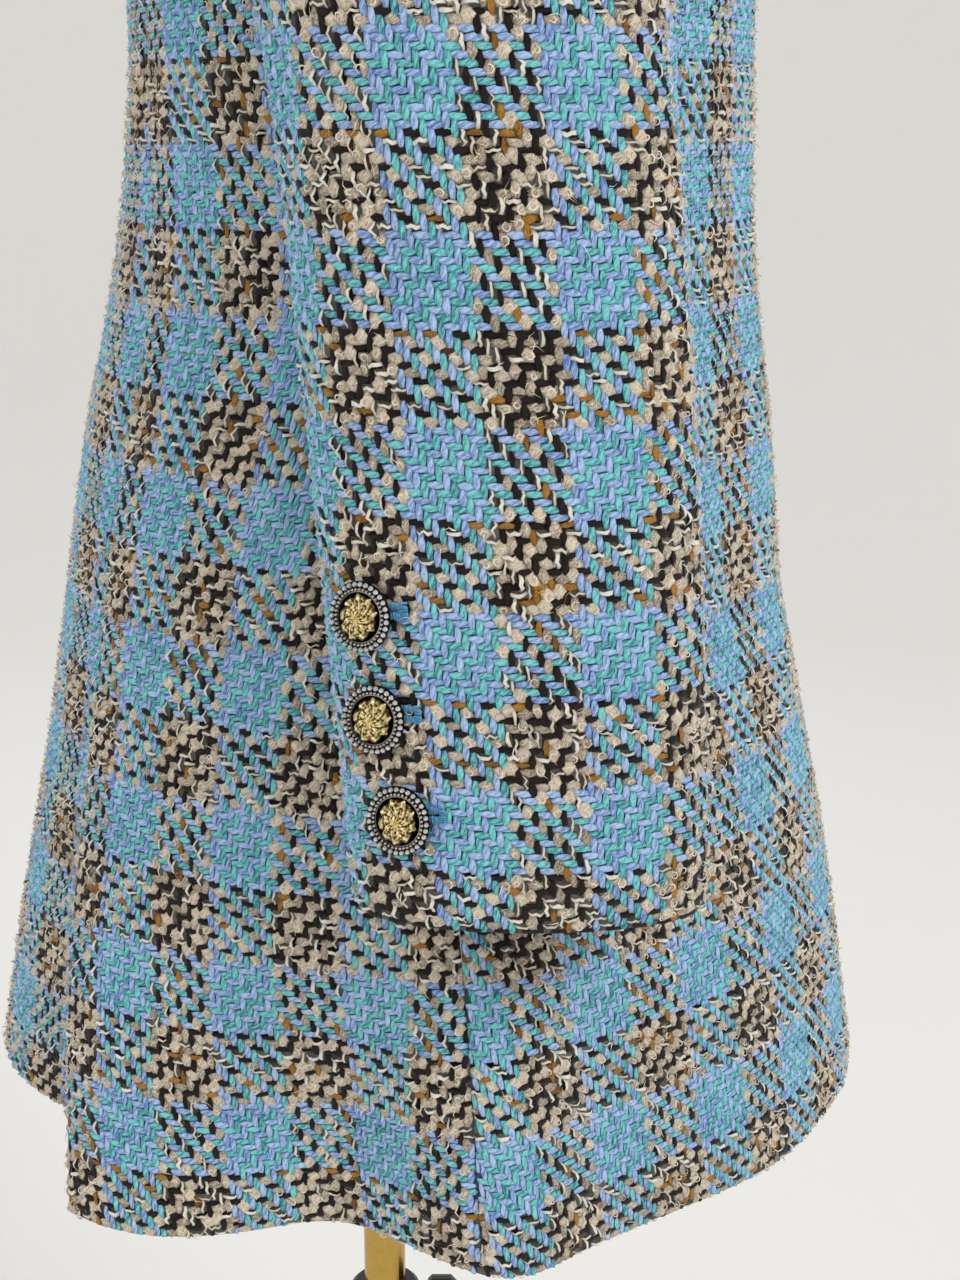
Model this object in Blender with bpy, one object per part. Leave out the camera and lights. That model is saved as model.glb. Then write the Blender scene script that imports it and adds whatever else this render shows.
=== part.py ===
"""An A-line tweed coat, worn by a limbless dress form on a pole stand.

Metres, +Z up. The front faces -Y, the wearer's right side is at -X, and the stand's pole is the Z axis.
Heights on the coat are measured up from its hem. A level is a height up to the chest; above it the levels
run on round the shoulders to the shoulder seam, so one level is one row of the cloth everywhere.
"""

import math

import bmesh
import bpy
import numpy as np
from mathutils import Matrix

HEM = 0.640  # height of the hem above the floor
WALL = 0.002  # thickness of the tweed
GAP = 0.0003  # between pieces that touch
RUN = 0.0001  # clearance of a piece that slides or turns in another
LAP = 0.0027  # how far a lapped edge stands off the one under it

CHEST = 0.600  # level where the shoulders begin
TOP = 0.785  # height of the shoulder seam at the neck
RISE = TOP - CHEST
SHOULDER_DROP = 0.040  # from the neck to the shoulder point
NECK_X = 0.078  # half the width of the neck hole
SHOULDER_X = 0.193
FRONT_NECK = 0.085  # depth of the neckline below the shoulder seam's neck end
BACK_NECK = 0.020
LAP_X = 0.018  # how far each front runs past the centre
UNDERARM = 0.555
VENT_TOP = 0.380
UNDERLAP = 0.036  # width of the vent's underlap
SEAM_TOP = 0.606  # level where the side-back seam meets the armhole

# The coat's outline at each level: half its width and half its depth, the middle of its depth, and the
# power of its rounded section (2 is an ellipse).
SECTIONS = np.array([
    # level, half width, half depth, middle y, power
    (0.000, 0.207, 0.2010, -0.0235, 2.00),
    (0.106, 0.199, 0.1835, -0.0240, 2.00),
    (0.181, 0.190, 0.1690, -0.0230, 2.00),
    (0.235, 0.183, 0.1590, -0.0220, 2.00),
    (0.285, 0.176, 0.1520, -0.0240, 2.05),
    (0.385, 0.166, 0.1350, -0.0285, 2.10),
    (0.457, 0.163, 0.1295, -0.0310, 2.15),
    (0.555, 0.165, 0.127, -0.0280, 2.20),
    (0.600, 0.175, 0.117, -0.0220, 2.30),
    (0.660, 0.192, 0.117, -0.0170, 2.45),
    (0.720, 0.206, 0.117, -0.0130, 2.55),
    (0.785, 0.212, 0.117, -0.0120, 2.60),
])

# Where the seams run, as degrees round from the centre front.
SIDE_SEAM = np.array([(0.00, 83.0), (0.20, 85.0), (0.40, 87.0), (UNDERARM, 88.0)])
BACK_SEAM = np.array([
    # level, degrees
    (0.000, 131.0), (0.100, 138.0), (0.225, 141.5), (0.380, 142.0), (0.480, 149.0),
    (0.530, 147.0), (0.570, 138.0), (0.600, 125.0), (SEAM_TOP, 121.5),
])

# The armhole's distance from the centre, on the front and on the back.
ARMHOLE = np.array([
    # level, front x, back x
    (UNDERARM, 0.1649, 0.1649), (0.565, 0.1600, 0.1615), (0.580, 0.1545, 0.1580), (0.600, 0.1510, 0.1550),
    (0.640, 0.1500, 0.1550), (0.680, 0.1600, 0.1640), (0.720, 0.1750, 0.1770), (0.760, 0.1880, 0.1885),
    (TOP, SHOULDER_X, SHOULDER_X),
])

# The soft flutes of the skirt. Each fades out from its foot level to its head level.
FLUTES = np.array([
    # degrees at foot, degrees at head, width, height, foot level, head level
    (80.0, 85.0, 8.0, 0.0150, 0.00, 0.20),
    (101.0, 103.0, 13.0, -0.0290, 0.00, 0.17),
    (56.0, 60.0, 13.0, -0.0060, 0.00, 0.26),
    (27.0, 39.0, 6.5, -0.0050, 0.16, 0.40),
    (180.0, 180.0, 20.0, 0.0050, 0.00, 0.22),
    (-81.0, -86.0, 10.0, 0.0120, 0.00, 0.22),
    (-101.0, -104.0, 12.0, -0.0160, 0.00, 0.20),
    (-54.0, -58.0, 12.0, -0.0050, 0.00, 0.21),
    (-24.0, -35.0, 7.0, -0.0040, 0.10, 0.34),
])

# The sleeve below its head, a rounded tube that hangs forward.
SLEEVE = np.array([
    # height, middle x, middle y, half thickness, half width
    (0.161, 0.2275, -0.0670, 0.0260, 0.0625),
    (0.200, 0.2265, -0.0650, 0.0270, 0.0635),
    (0.280, 0.2220, -0.0600, 0.0315, 0.0650),
    (0.360, 0.2180, -0.0540, 0.0360, 0.0655),
    (0.440, 0.2155, -0.0470, 0.0385, 0.0660),
    (0.530, 0.2135, -0.0370, 0.0410, 0.0700),
])
BICEP = 0.530
CUFF = 0.161
SLEEVE_FRONT_SEAM = 125.0  # degrees round the sleeve, from its outer side to the front
SLEEVE_BACK_SEAM = -100.0

BUTTON_WIDTH = 0.0210
BUTTON_HEIGHT = 0.0234
CUFF_BUTTONS = ((0.2716, -0.0108), (0.2364, -0.0146), (0.2014, -0.0224))  # height, y
FRONT_BUTTONS = (0.649, 0.575, 0.500)  # levels
FRONT_BUTTON_SCALE = 1.25

POLE_R = 0.0105
TUBE_R = 0.0135
TUBE_TOP = 0.470
POLE_FOOT = 0.300
COLLAR_R = 0.0175
COLLAR_LOW = 0.446
COLLAR_HIGH = 0.493
KNOB_R = 0.013
KNOB_Z = 0.4815
BASE_R = 0.160
BASE_HIGH = 0.012
TORSO_FOOT = 0.120  # level
NECK_HIGH = 0.865
PLATE_X = 0.1715  # where the form is cut flat at the arms

for old in list(bpy.data.objects):
    bpy.data.objects.remove(old)


def material(name, colour, roughness, metallic=0.0):
    made = bpy.data.materials.new(name)
    made.use_nodes = True
    shader = made.node_tree.nodes["Principled BSDF"]
    shader.inputs["Base Color"].default_value = (*colour, 1.0)
    shader.inputs["Roughness"].default_value = roughness
    shader.inputs["Metallic"].default_value = metallic
    return made


def finish(name, mesh, finish_of):
    """Give the mesh outward faces, its material and smooth shading, and place it as a named object."""
    work = bmesh.new()
    work.from_mesh(mesh)
    bmesh.ops.recalc_face_normals(work, faces=work.faces)
    if work.calc_volume(signed=True) < 0:
        bmesh.ops.reverse_faces(work, faces=work.faces)
    work.to_mesh(mesh)
    work.free()
    mesh.shade_smooth()
    mesh.set_sharp_from_angle(angle=math.radians(40))
    mesh.materials.append(finish_of)
    made = bpy.data.objects.new(name, mesh)
    bpy.context.collection.objects.link(made)
    return made


def smooth(table, column, at):
    """A table's column at any level, on a smooth curve through its rows."""
    xs, ys = table[:, 0], table[:, column]
    slope = np.gradient(ys, xs)
    at = np.clip(at, xs[0], xs[-1])
    i = np.clip(np.searchsorted(xs, at) - 1, 0, len(xs) - 2)
    width = xs[i + 1] - xs[i]
    f = (at - xs[i]) / width
    start = (2 * f**3 - 3 * f**2 + 1) * ys[i] + (f**3 - 2 * f**2 + f) * width * slope[i]
    end = (3 * f**2 - 2 * f**3) * ys[i + 1] + (f**3 - f**2) * width * slope[i + 1]
    return start + end


def step(x):
    """0 below 0, 1 above 1, and an S curve between."""
    x = np.clip(x, 0.0, 1.0)
    return x * x * (3 - 2 * x)


def shoulder_angle(level):
    return np.maximum(level - CHEST, 0.0) / RISE * math.pi / 2


def height(level):
    return np.where(level > CHEST, CHEST + RISE * np.sin(shoulder_angle(level)), level)


def body(turn, level):
    """The coat's smooth outer surface: turn is in degrees from the centre front to the wearer's right."""
    turn, level = np.broadcast_arrays(np.asarray(turn, float), np.asarray(level, float))
    half_x, half_y, middle, power = (smooth(SECTIONS, c, level) for c in (1, 2, 3, 4))
    half_y = half_y * np.cos(shoulder_angle(level))
    s, c = np.sin(np.radians(turn)), np.cos(np.radians(turn))
    x = -half_x * np.sign(s) * np.abs(s) ** (2 / power)
    y = middle - half_y * np.sign(c) * np.abs(c) ** (2 / power)
    slope = step((level - CHEST) / RISE) * SHOULDER_DROP / (SHOULDER_X - NECK_X)
    z = HEM + height(level) - slope * np.maximum(np.abs(x) - NECK_X, 0.0)
    return np.stack([x, y, z], axis=-1)


def flutes(turn, level):
    """How far the skirt's folds stand out from the smooth surface."""
    out = np.zeros(np.broadcast(turn, level).shape)
    for at_foot, at_head, width, depth, foot, head in FLUTES:
        f = (level - foot) / (head - foot)
        middle = at_foot + (at_head - at_foot) * np.clip(f, 0, 1)
        away = (turn - middle + 180) % 360 - 180
        fade = 1 - step(f) if foot == 0 else np.sin(math.pi * np.clip(f, 0, 1)) ** 2
        out = out + depth * fade * np.exp(-((away / width) ** 2))
    return out


def normals(points_at, turn, level):
    """Outward normals of a surface, from its slopes round and up."""
    round_it = points_at(turn + 0.2, level) - points_at(turn - 0.2, level)
    up_it = points_at(turn, level + 0.0005) - points_at(turn, level - 0.0005)
    n = np.cross(up_it, round_it)
    return n / np.linalg.norm(n, axis=-1, keepdims=True)


def lifted(lift):
    """The body's surface moved out by the flutes and by lift(turn, level)."""
    def surface(turn, level):
        out = flutes(turn, level) + lift(turn, level)
        return body(turn, level) + out[..., None] * normals(body, turn, level)
    return surface


def wall(name, outer, out, finish_of):
    """A closed wall of cloth from a grid of outer points and their normals. Each cell is split along its
    shorter diagonal."""
    rows, columns = outer.shape[:2]
    inner = outer - WALL * out
    points = np.concatenate([outer.reshape(-1, 3), inner.reshape(-1, 3)])
    index = np.arange(rows * columns).reshape(rows, columns)
    a, b, c, d = (
        v.ravel() for v in (index[:-1, :-1], index[:-1, 1:], index[1:, 1:], index[1:, :-1])
    )
    reach = np.linalg.norm(points[a] - points[c], axis=1) < np.linalg.norm(points[b] - points[d], axis=1)
    one = np.where(reach[:, None], np.stack([a, b, c], axis=-1), np.stack([a, b, d], axis=-1))
    two = np.where(reach[:, None], np.stack([a, c, d], axis=-1), np.stack([b, c, d], axis=-1))
    faces = np.concatenate([one, two])
    other = faces[:, ::-1] + rows * columns
    loop = np.concatenate([index[0, :], index[1:, -1], index[-1, -2::-1], index[-2:0:-1, 0]])
    ahead = np.roll(loop, -1)
    rim = np.stack([ahead, loop, loop + rows * columns, ahead + rows * columns], axis=-1)
    mesh = bpy.data.meshes.new(name)
    mesh.from_pydata(points.tolist(), [], faces.tolist() + other.tolist() + rim.tolist())
    return finish(name, mesh, finish_of)


def at_x(x, level, back=False):
    """The turn, on the wearer's right, where the section at a level is x from the centre."""
    half_x, power = smooth(SECTIONS, 1, level), smooth(SECTIONS, 4, level)
    turn = np.degrees(np.arcsin(np.clip(np.abs(x) / half_x, 0, 1) ** (power / 2)))
    return 180 - turn if back else turn


def side_seam(level):
    """The fronts' outer edge: the side seam, and the armhole above it."""
    if level <= UNDERARM:
        return float(smooth(SIDE_SEAM, 1, level))
    return float(at_x(smooth(ARMHOLE, 1, level), level))


def side_top(level):
    """The side panel's front edge: the side seam, and the foot of the armhole above it."""
    if level <= UNDERARM:
        return float(smooth(SIDE_SEAM, 1, level))
    return float(at_x(smooth(ARMHOLE, 2, level), level, back=True))


def back_seam(level):
    """The back's outer edge: the side-back seam, and the armhole above it."""
    if level <= SEAM_TOP:
        return float(smooth(BACK_SEAM, 1, level))
    return float(at_x(smooth(ARMHOLE, 2, level), level, back=True))


def along(surface, level, start, end, wanted):
    """Turns at which a row has gone the wanted distances, in metres or as shares if wanted(length)."""
    turn = np.linspace(start, end, 160)
    line = surface(turn, np.full(160, level))
    gone = np.concatenate([[0], np.cumsum(np.linalg.norm(np.diff(line, axis=0), axis=1))])
    return np.interp(wanted(gone[-1]), gone, turn)


def panel(name, surface, levels, start, end, places, finish_of):
    """A cloth panel. levels is a grid, or a list with one level for each row."""
    turns = np.array([
        [along(surface, level, start(level), end(level), lambda n: places(n, level))[i]
         for i, level in enumerate(row)]
        for row in levels
    ])
    levels = np.asarray(levels)
    return wall(name, surface(turns, levels), normals(surface, turns, levels), finish_of)


def shares(fractions):
    """Places along a row at fractions of it, half a gap in from each end."""
    fractions = np.asarray(fractions)
    return lambda length, level: GAP / 2 + fractions * (length - GAP)


SHOULDER_LENGTH = math.hypot(SHOULDER_X - NECK_X, SHOULDER_DROP)
LOWER_LEVELS = [0.0, 0.03, 0.06, 0.10, 0.14, 0.18, 0.22, 0.26, 0.30, 0.34, VENT_TOP]
JOG = 0.004  # height over which the back's underlap runs out above the vent
JOG_LEVELS = [VENT_TOP + JOG, 0.392]
MIDDLE_LEVELS = [0.404, 0.42, 0.46, 0.50, 0.53, UNDERARM, 0.57, 0.585]
NEAR_TOP = TOP - 0.0026 * RISE / (math.pi / 2)  # leaves the shoulder seam's gap


def neckline_level(surface, start, end, places, column, neck_depth):
    """The level where a column of a panel meets the neckline or the shoulder seam."""
    def distance(level):
        turn = along(surface, level, start(level), end(level), lambda n: places(n, level))[column]
        return abs(float(body(turn, level)[0]))

    low, high = CHEST, NEAR_TOP
    if distance(NEAR_TOP) > NECK_X - 0.001:
        return NEAR_TOP
    for _ in range(30):
        level = (low + high) / 2
        x = distance(level)
        edge = TOP - neck_depth * math.sqrt(max(0.0, 1 - (x / NECK_X) ** 2))
        if x < NECK_X and float(height(level)) > edge:
            high = level
        else:
            low = level
    return high


def to_the_top(surface, start, end, places, columns, neck_depth, lower, upper_shares):
    """Levels for a panel whose columns run up to the neckline and the shoulder seam."""
    tops = np.array([
        neckline_level(surface, start, end, places, i, neck_depth) for i in range(columns)
    ])
    last = lower[-1]
    upper = [last + share * (tops - last) for share in upper_shares]
    return [[level] * columns for level in lower] + [list(row) for row in upper]


TWEED = material("tweed", (0.36, 0.55, 0.58), 0.95)
BUTTON_METAL = material("button_metal", (0.55, 0.47, 0.30), 0.30, 1.0)
LINEN = material("linen", (0.72, 0.68, 0.60), 0.90)
BRASS = material("brass", (0.72, 0.55, 0.22), 0.22, 1.0)
BLACK = material("black_plastic", (0.02, 0.02, 0.022), 0.45)


# The fronts: the wearer's right one laps over the left one.
FRONT_NECK_SHARE = (LAP_X + NECK_X) / (LAP_X + NECK_X + SHOULDER_LENGTH)
NECK_PLACES = [LAP_X + NECK_X * math.sin(math.radians(v)) for v in (0, 13.3, 27, 43, 56, 66, 73, 78.5, 83, 87, 90)]
FRONT_COLUMNS = [FRONT_NECK_SHARE * v / NECK_PLACES[-1] for v in [0] + NECK_PLACES]
FRONT_COLUMNS += [FRONT_NECK_SHARE + (1 - FRONT_NECK_SHARE) * v for v in (0.25, 0.5, 0.75, 1)]
FRONT_UPPER = [0.14, 0.28, 0.42, 0.56, 0.70, 0.82, 0.92, 1.0]
LAP_FROM, LAP_TO = 30.0, 15.0  # degrees over which the upper front rises to its lap


def front(side):
    name = "front_right" if side > 0 else "front_left"
    raised = LAP if side > 0 else 0.0
    surface = lifted(lambda turn, level: raised * step((LAP_FROM - side * turn) / (LAP_FROM - LAP_TO)))
    start = lambda level: -side * float(at_x(LAP_X, level))
    end = lambda level: side * side_seam(level)
    places = shares(FRONT_COLUMNS)
    lower = LOWER_LEVELS + MIDDLE_LEVELS + [CHEST]
    levels = to_the_top(surface, start, end, places, len(FRONT_COLUMNS), FRONT_NECK, lower, FRONT_UPPER)
    panel(name, surface, levels, start, end, places, TWEED)


# The side panels: below the vent's top their back edge is a free flap that kicks out.
SIDE_COLUMNS = [0, 0.16, 0.33, 0.50, 0.67, 0.84, 1]
FLAP_KICK = 0.0185
FLAP_WIDTH = 30.0  # degrees of the panel that bend


def open_share(level, power):
    return np.clip(1 - level / VENT_TOP, 0, 1) ** power


def side_panel(side):
    name = "side_panel_right" if side > 0 else "side_panel_left"

    def kick(turn, level):
        edge = smooth(BACK_SEAM, 1, level)
        return FLAP_KICK * open_share(level, 2.0) * step((side * turn - edge + FLAP_WIDTH) / FLAP_WIDTH)

    surface = lifted(kick)
    start = lambda level: side * side_top(level)
    end = lambda level: side * back_seam(level)
    lower = LOWER_LEVELS + JOG_LEVELS + MIDDLE_LEVELS + [CHEST, SEAM_TOP - 0.002]
    levels = [[level] * len(SIDE_COLUMNS) for level in lower]
    panel(name, surface, levels, start, end, shares(SIDE_COLUMNS), TWEED)


# The back: one panel, with an underlap at each side that runs in under the flap of the vent.
SEAM_STRIP = 0.014  # width of the strip by the seam that jogs in behind the flap
BACK_NECK_SHARE = (SHOULDER_LENGTH - SEAM_STRIP) / (SHOULDER_LENGTH + NECK_X - SEAM_STRIP)
BACK_COLUMNS = [0.33 * BACK_NECK_SHARE, 0.67 * BACK_NECK_SHARE, BACK_NECK_SHARE]
BACK_COLUMNS += [BACK_NECK_SHARE + (1 - BACK_NECK_SHARE) * v for v in (0.25, 0.6, 1)]
TUCK = 0.045
TUCK_FROM = 174.0  # degrees
UNDERLAP_INSET = 0.0029


def back():
    def tuck(turn, level):
        away = 180 - np.abs(180 - turn % 360)
        edge = smooth(BACK_SEAM, 1, level)
        inset = UNDERLAP_INSET * step((edge + 6.0 - away) / 5.0) * step((VENT_TOP + 0.022 - level) / 0.014)
        fall = TUCK * open_share(level, 2.2) * step((TUCK_FROM - away) / (TUCK_FROM - 131.0))
        return -inset - fall

    surface = lifted(tuck)

    def start(level):
        under = np.clip((VENT_TOP + JOG - level) / JOG, 0, 1)
        section_r = 0.19  # close to the section's radius there
        return back_seam(level) - under * math.degrees(UNDERLAP / section_r)

    end = lambda level: 360 - start(level)

    def places(length, level):
        under = float(np.clip((VENT_TOP + JOG - level) / JOG, 0, 1)) * UNDERLAP
        near = np.array([GAP / 2, under * 0.5 + 0.001, under + 0.003, under + SEAM_STRIP])
        half = near[-1] + np.array(BACK_COLUMNS) * (length / 2 - near[-1])
        return np.concatenate([near, half, length - half[-2::-1], length - near[::-1]])

    columns = 8 + 2 * len(BACK_COLUMNS) - 1
    lower = LOWER_LEVELS + JOG_LEVELS + MIDDLE_LEVELS + [CHEST, SEAM_TOP, 0.612, 0.64]
    upper = [0.18, 0.36, 0.52, 0.66, 0.79, 0.90, 1.0]
    levels = to_the_top(surface, start, end, places, columns, BACK_NECK, lower, upper)
    panel("back", surface, levels, start, end, places, TWEED)


front(1)
front(-1)
side_panel(1)
side_panel(-1)
back()


# The sleeves: each hangs from the armhole, and is cut as an upper and an under piece.
def armhole_loop():
    """The right armhole as a closed line from the shoulder point down the front and up the back."""
    plain = lifted(lambda turn, level: np.zeros(np.broadcast(turn, level).shape))
    down = np.linspace(TOP, UNDERARM, 90)
    front_line = [plain(side_seam(v), v) for v in down]
    back_line = [plain(side_top(v), v) for v in down[::-1]]
    return np.array(front_line + back_line[1:]).reshape(-1, 3)


ARMHOLE_LINE = armhole_loop()
ARMHOLE_GONE = np.concatenate([
    [0], np.cumsum(np.linalg.norm(np.diff(ARMHOLE_LINE, axis=0), axis=1)),
])


def on_armhole(angle):
    """A point of the armhole at an angle round the sleeve: 0 is the shoulder, 90 the front."""
    at = (np.asarray(angle) % 360) / 360 * ARMHOLE_GONE[-1]
    return np.stack([np.interp(at, ARMHOLE_GONE, ARMHOLE_LINE[:, k]) for k in range(3)], axis=-1)


def tube(angle, h):
    """The sleeve below its head, on the wearer's right: 0 is its outer side, 90 its front."""
    x, y, thick, wide = (smooth(SLEEVE, c, h) for c in (1, 2, 3, 4))
    a = np.radians(angle)
    return np.stack([-x - thick * np.cos(a), y - wide * np.sin(a), HEM + h + 0 * a], axis=-1)


SEAM_STAND = 0.0015  # the sleeve's head starts this far outside the armhole's edge
HEAD_SHARES = [0, 0.12, 0.30, 0.50, 0.72]


def head(angle, share):
    """The sleeve's head: each thread leaves the armhole outwards and turns down into the tube."""
    angle, share = np.broadcast_arrays(np.asarray(angle, float), np.asarray(share, float))
    low = (1 - np.cos(np.radians(angle))) / 2  # 0 at the shoulder, 1 under the arm
    first = on_armhole(angle) - np.stack([SEAM_STAND + 0 * low, 0 * low, 0 * low], axis=-1)
    last = tube(angle, BICEP)
    forward = np.sin(np.radians(angle))
    out = np.stack([-1 + 0.8 * low**4, -0.25 * forward, -0.25 - 0.75 * low**2], axis=-1)
    leave = out * (0.115 - 0.085 * low)[..., None]
    down = tube(angle, BICEP - 0.01) - last
    arrive = down / 0.01 * (0.16 - 0.12 * low)[..., None]
    f = share[..., None]
    return (
        (2 * f**3 - 3 * f**2 + 1) * first + (f**3 - 2 * f**2 + f) * leave
        + (3 * f**2 - 2 * f**3) * last + (f**3 - f**2) * arrive
    )


def sleeve_surface(angle, way):
    """way is 0 at the armhole and 1 at the top of the tube, then it runs down to 2 at the cuff."""
    angle, way = np.broadcast_arrays(np.asarray(angle, float), np.asarray(way, float))
    h = BICEP + (CUFF - BICEP) * np.clip(way - 1, 0, 1.01)
    upper = head(angle, np.clip(way, 0, 1))
    return np.where((way < 1)[..., None], upper, tube(angle, h))


def sleeve_normals(angle, way):
    low, high = np.maximum(way - 0.01, 0), way + 0.01
    up_it = sleeve_surface(angle, low) - sleeve_surface(angle, high)
    round_it = sleeve_surface(angle + 0.5, way) - sleeve_surface(angle - 0.5, way)
    n = np.cross(up_it, -round_it)
    return n / np.linalg.norm(n, axis=-1, keepdims=True)


def sleeve(side):
    ways = HEAD_SHARES + [1 + v for v in (0, 0.1, 0.2, 0.32, 0.44, 0.56, 0.68, 0.78, 0.88, 0.95, 1.0)]
    seam = 0.3  # degrees, a little over half a gap
    pieces = (
        ("upper", SLEEVE_BACK_SEAM + seam, SLEEVE_FRONT_SEAM - seam, 17),
        ("under", SLEEVE_FRONT_SEAM + seam, 360 + SLEEVE_BACK_SEAM - seam, 10),
    )
    for piece, start, end, columns in pieces:
        angle, way = np.meshgrid(np.linspace(start, end, columns), ways)
        points, out = sleeve_surface(angle, way), sleeve_normals(angle, way)
        mirror = np.array([side, 1, 1])
        wall(f"sleeve_{piece}_{'right' if side > 0 else 'left'}", points * mirror, out * mirror, TWEED)


sleeve(1)
sleeve(-1)


# The buttons: an oval dish with a raised ring and a domed centre, on a short shank.
BUTTON_PROFILE = (
    # share of the radius, height above the cloth in metres
    (0.00, 0.0), (0.36, 0.0), (0.36, 0.0013), (0.90, 0.0013), (1.00, 0.0024), (0.98, 0.0038),
    (0.86, 0.0046), (0.72, 0.0040), (0.60, 0.0034), (0.56, 0.0046), (0.36, 0.0060), (0.00, 0.0064),
)
BUTTON_SIDES = 14


def button(name, place, out, scale):
    """An oval button on the cloth at place, facing out, with its long way up."""
    out = out / np.linalg.norm(out)
    across = np.cross((0, 0, 1), out)
    across = across / np.linalg.norm(across)
    upward = np.cross(out, across)
    work = bmesh.new()
    rings = []
    for share, rise in BUTTON_PROFILE:
        centre = place + out * (GAP + rise * scale)
        if share == 0:
            rings.append([work.verts.new(centre)])
            continue
        ring = []
        for k in range(BUTTON_SIDES):
            a = 2 * math.pi * k / BUTTON_SIDES
            wide = across * math.cos(a) * BUTTON_WIDTH / 2
            tall = upward * math.sin(a) * BUTTON_HEIGHT / 2
            ring.append(work.verts.new(centre + (wide + tall) * share * scale))
        rings.append(ring)
    for lower_ring, upper_ring in zip(rings, rings[1:]):
        for k in range(BUTTON_SIDES):
            following = (k + 1) % BUTTON_SIDES
            if len(lower_ring) == 1:
                work.faces.new((lower_ring[0], upper_ring[following], upper_ring[k]))
            elif len(upper_ring) == 1:
                work.faces.new((lower_ring[k], lower_ring[following], upper_ring[0]))
            else:
                work.faces.new((lower_ring[k], lower_ring[following], upper_ring[following], upper_ring[k]))
    mesh = bpy.data.meshes.new(name)
    work.to_mesh(mesh)
    work.free()
    finish(name, mesh, BUTTON_METAL)


def cuff_buttons(side):
    for number, (h, y) in enumerate(CUFF_BUTTONS, start=1):
        middle, wide = smooth(SLEEVE, 2, h), smooth(SLEEVE, 4, h)
        angle = -math.degrees(math.asin((y - middle) / wide))
        way = 1 + (BICEP - h) / (BICEP - CUFF)
        mirror = np.array([side, 1, 1])
        out = sleeve_normals(np.array(angle), np.array(way)) * mirror
        place = sleeve_surface(angle, way) * mirror
        button(f"cuff_button_{'right' if side > 0 else 'left'}_{number}", place, out, 1.0)


cuff_buttons(1)
cuff_buttons(-1)
lap_surface = lifted(lambda turn, level: LAP + np.zeros(np.broadcast(turn, level).shape))
for number, level in enumerate(FRONT_BUTTONS, start=1):
    turn, level = np.array(0.0), np.array(level)
    button(
        f"front_button_{number}", lap_surface(turn, level), normals(lap_surface, turn, level),
        FRONT_BUTTON_SCALE,
    )


# The dress form: a plain torso with a neck, cut flat at the arms.
FORM_INSETS = np.array([
    # level, inset from the coat's outer surface
    (TORSO_FOOT, 0.046), (0.22, 0.034), (0.32, 0.037), (0.40, 0.040), (0.50, 0.024), (0.56, 0.013),
    (0.60, 0.0105), (0.64, 0.0108), (0.68, 0.0133), (0.74, 0.0131), (TOP, 0.0087),
])
FORM_SIDES = 48
FORM_LEVELS = (0.12, 0.17, 0.22, 0.27, 0.32, 0.36, 0.40, 0.45, 0.50, 0.55, 0.60, 0.64, 0.675, 0.705,
               0.73, 0.75, 0.768)
FORM_NECK = (0.056, 0.045, -0.010)  # half width, half depth, middle y


def closed_rings(name, rings):
    """A closed solid from a stack of rings that start at the front and run the same way round. The ends
    are closed by strips that join the front half of a ring to its back half."""
    work = bmesh.new()
    made = [[work.verts.new(p) for p in ring] for ring in rings]
    count = len(rings[0])
    for low, high in zip(made, made[1:]):
        for k in range(count):
            following = (k + 1) % count
            work.faces.new((low[k], low[following], high[following], high[k]))
    for ring in (made[0], made[-1]):
        half = count // 2
        for k in range(-half // 2, half // 2):
            corners = [ring[k], ring[k + 1], ring[half - k - 1], ring[(half - k) % count]]
            work.faces.new([v for i, v in enumerate(corners) if v not in corners[:i]])
    mesh = bpy.data.meshes.new(name)
    work.to_mesh(mesh)
    work.free()
    return mesh


def form_torso():
    turn = np.arange(FORM_SIDES) * 360 / FORM_SIDES
    rings = []
    for level in FORM_LEVELS:
        levels = np.full(FORM_SIDES, level)
        ring = body(turn, levels) - smooth(FORM_INSETS, 1, levels)[:, None] * normals(body, turn, levels)
        ring[:, 0] = np.clip(ring[:, 0], -PLATE_X, PLATE_X)
        if level == TORSO_FOOT:
            ring[:, 2] = HEM + TORSO_FOOT
        rings.append(ring.tolist())
    torso = finish("form_torso", closed_rings("form_torso", rings), LINEN)

    half_x, half_y, middle = FORM_NECK
    a = np.arange(32) * 2 * math.pi / 32
    neck_rings = []
    for h, share in ((0.70, 1.0), (NECK_HIGH - 0.012, 0.96), (NECK_HIGH - 0.004, 0.91), (NECK_HIGH, 0.80)):
        neck_rings.append(np.stack([
            half_x * share * np.sin(a), middle - half_y * share * np.cos(a), HEM + h + 0 * a,
        ], axis=-1).tolist())
    neck = finish("neck_shape", closed_rings("neck_shape", neck_rings), LINEN)

    neck.hide_render = True
    neck.display_type = "WIRE"
    joined = torso.modifiers.new("neck", "BOOLEAN")
    joined.operation = "UNION"
    joined.solver = "EXACT"
    joined.object = neck


form_torso()


# The stand: a pole that slides in a tube, held by a clamp with a knob, on a round base.
def turned(name, profile, finish_of, sides=40):
    """A solid turned about the Z axis from a profile of (radius, height), bottom first, closed at the axis
    or as a ring."""
    work = bmesh.new()
    rings = []
    for radius, z in profile:
        if radius == 0:
            rings.append([work.verts.new((0, 0, z))])
        else:
            angles = [2 * math.pi * k / sides for k in range(sides)]
            rings.append([work.verts.new((radius * math.cos(a), radius * math.sin(a), z)) for a in angles])
    pairs = list(zip(rings, rings[1:]))
    if profile[0][0] != 0:
        pairs.append((rings[-1], rings[0]))
    for low, high in pairs:
        for k in range(sides):
            following = (k + 1) % sides
            corners = [low[k % len(low)], low[following % len(low)]]
            corners += [high[following % len(high)], high[k % len(high)]]
            work.faces.new([v for i, v in enumerate(corners) if v not in corners[:i]])
    mesh = bpy.data.meshes.new(name)
    work.to_mesh(mesh)
    work.free()
    return finish(name, mesh, finish_of)


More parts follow.
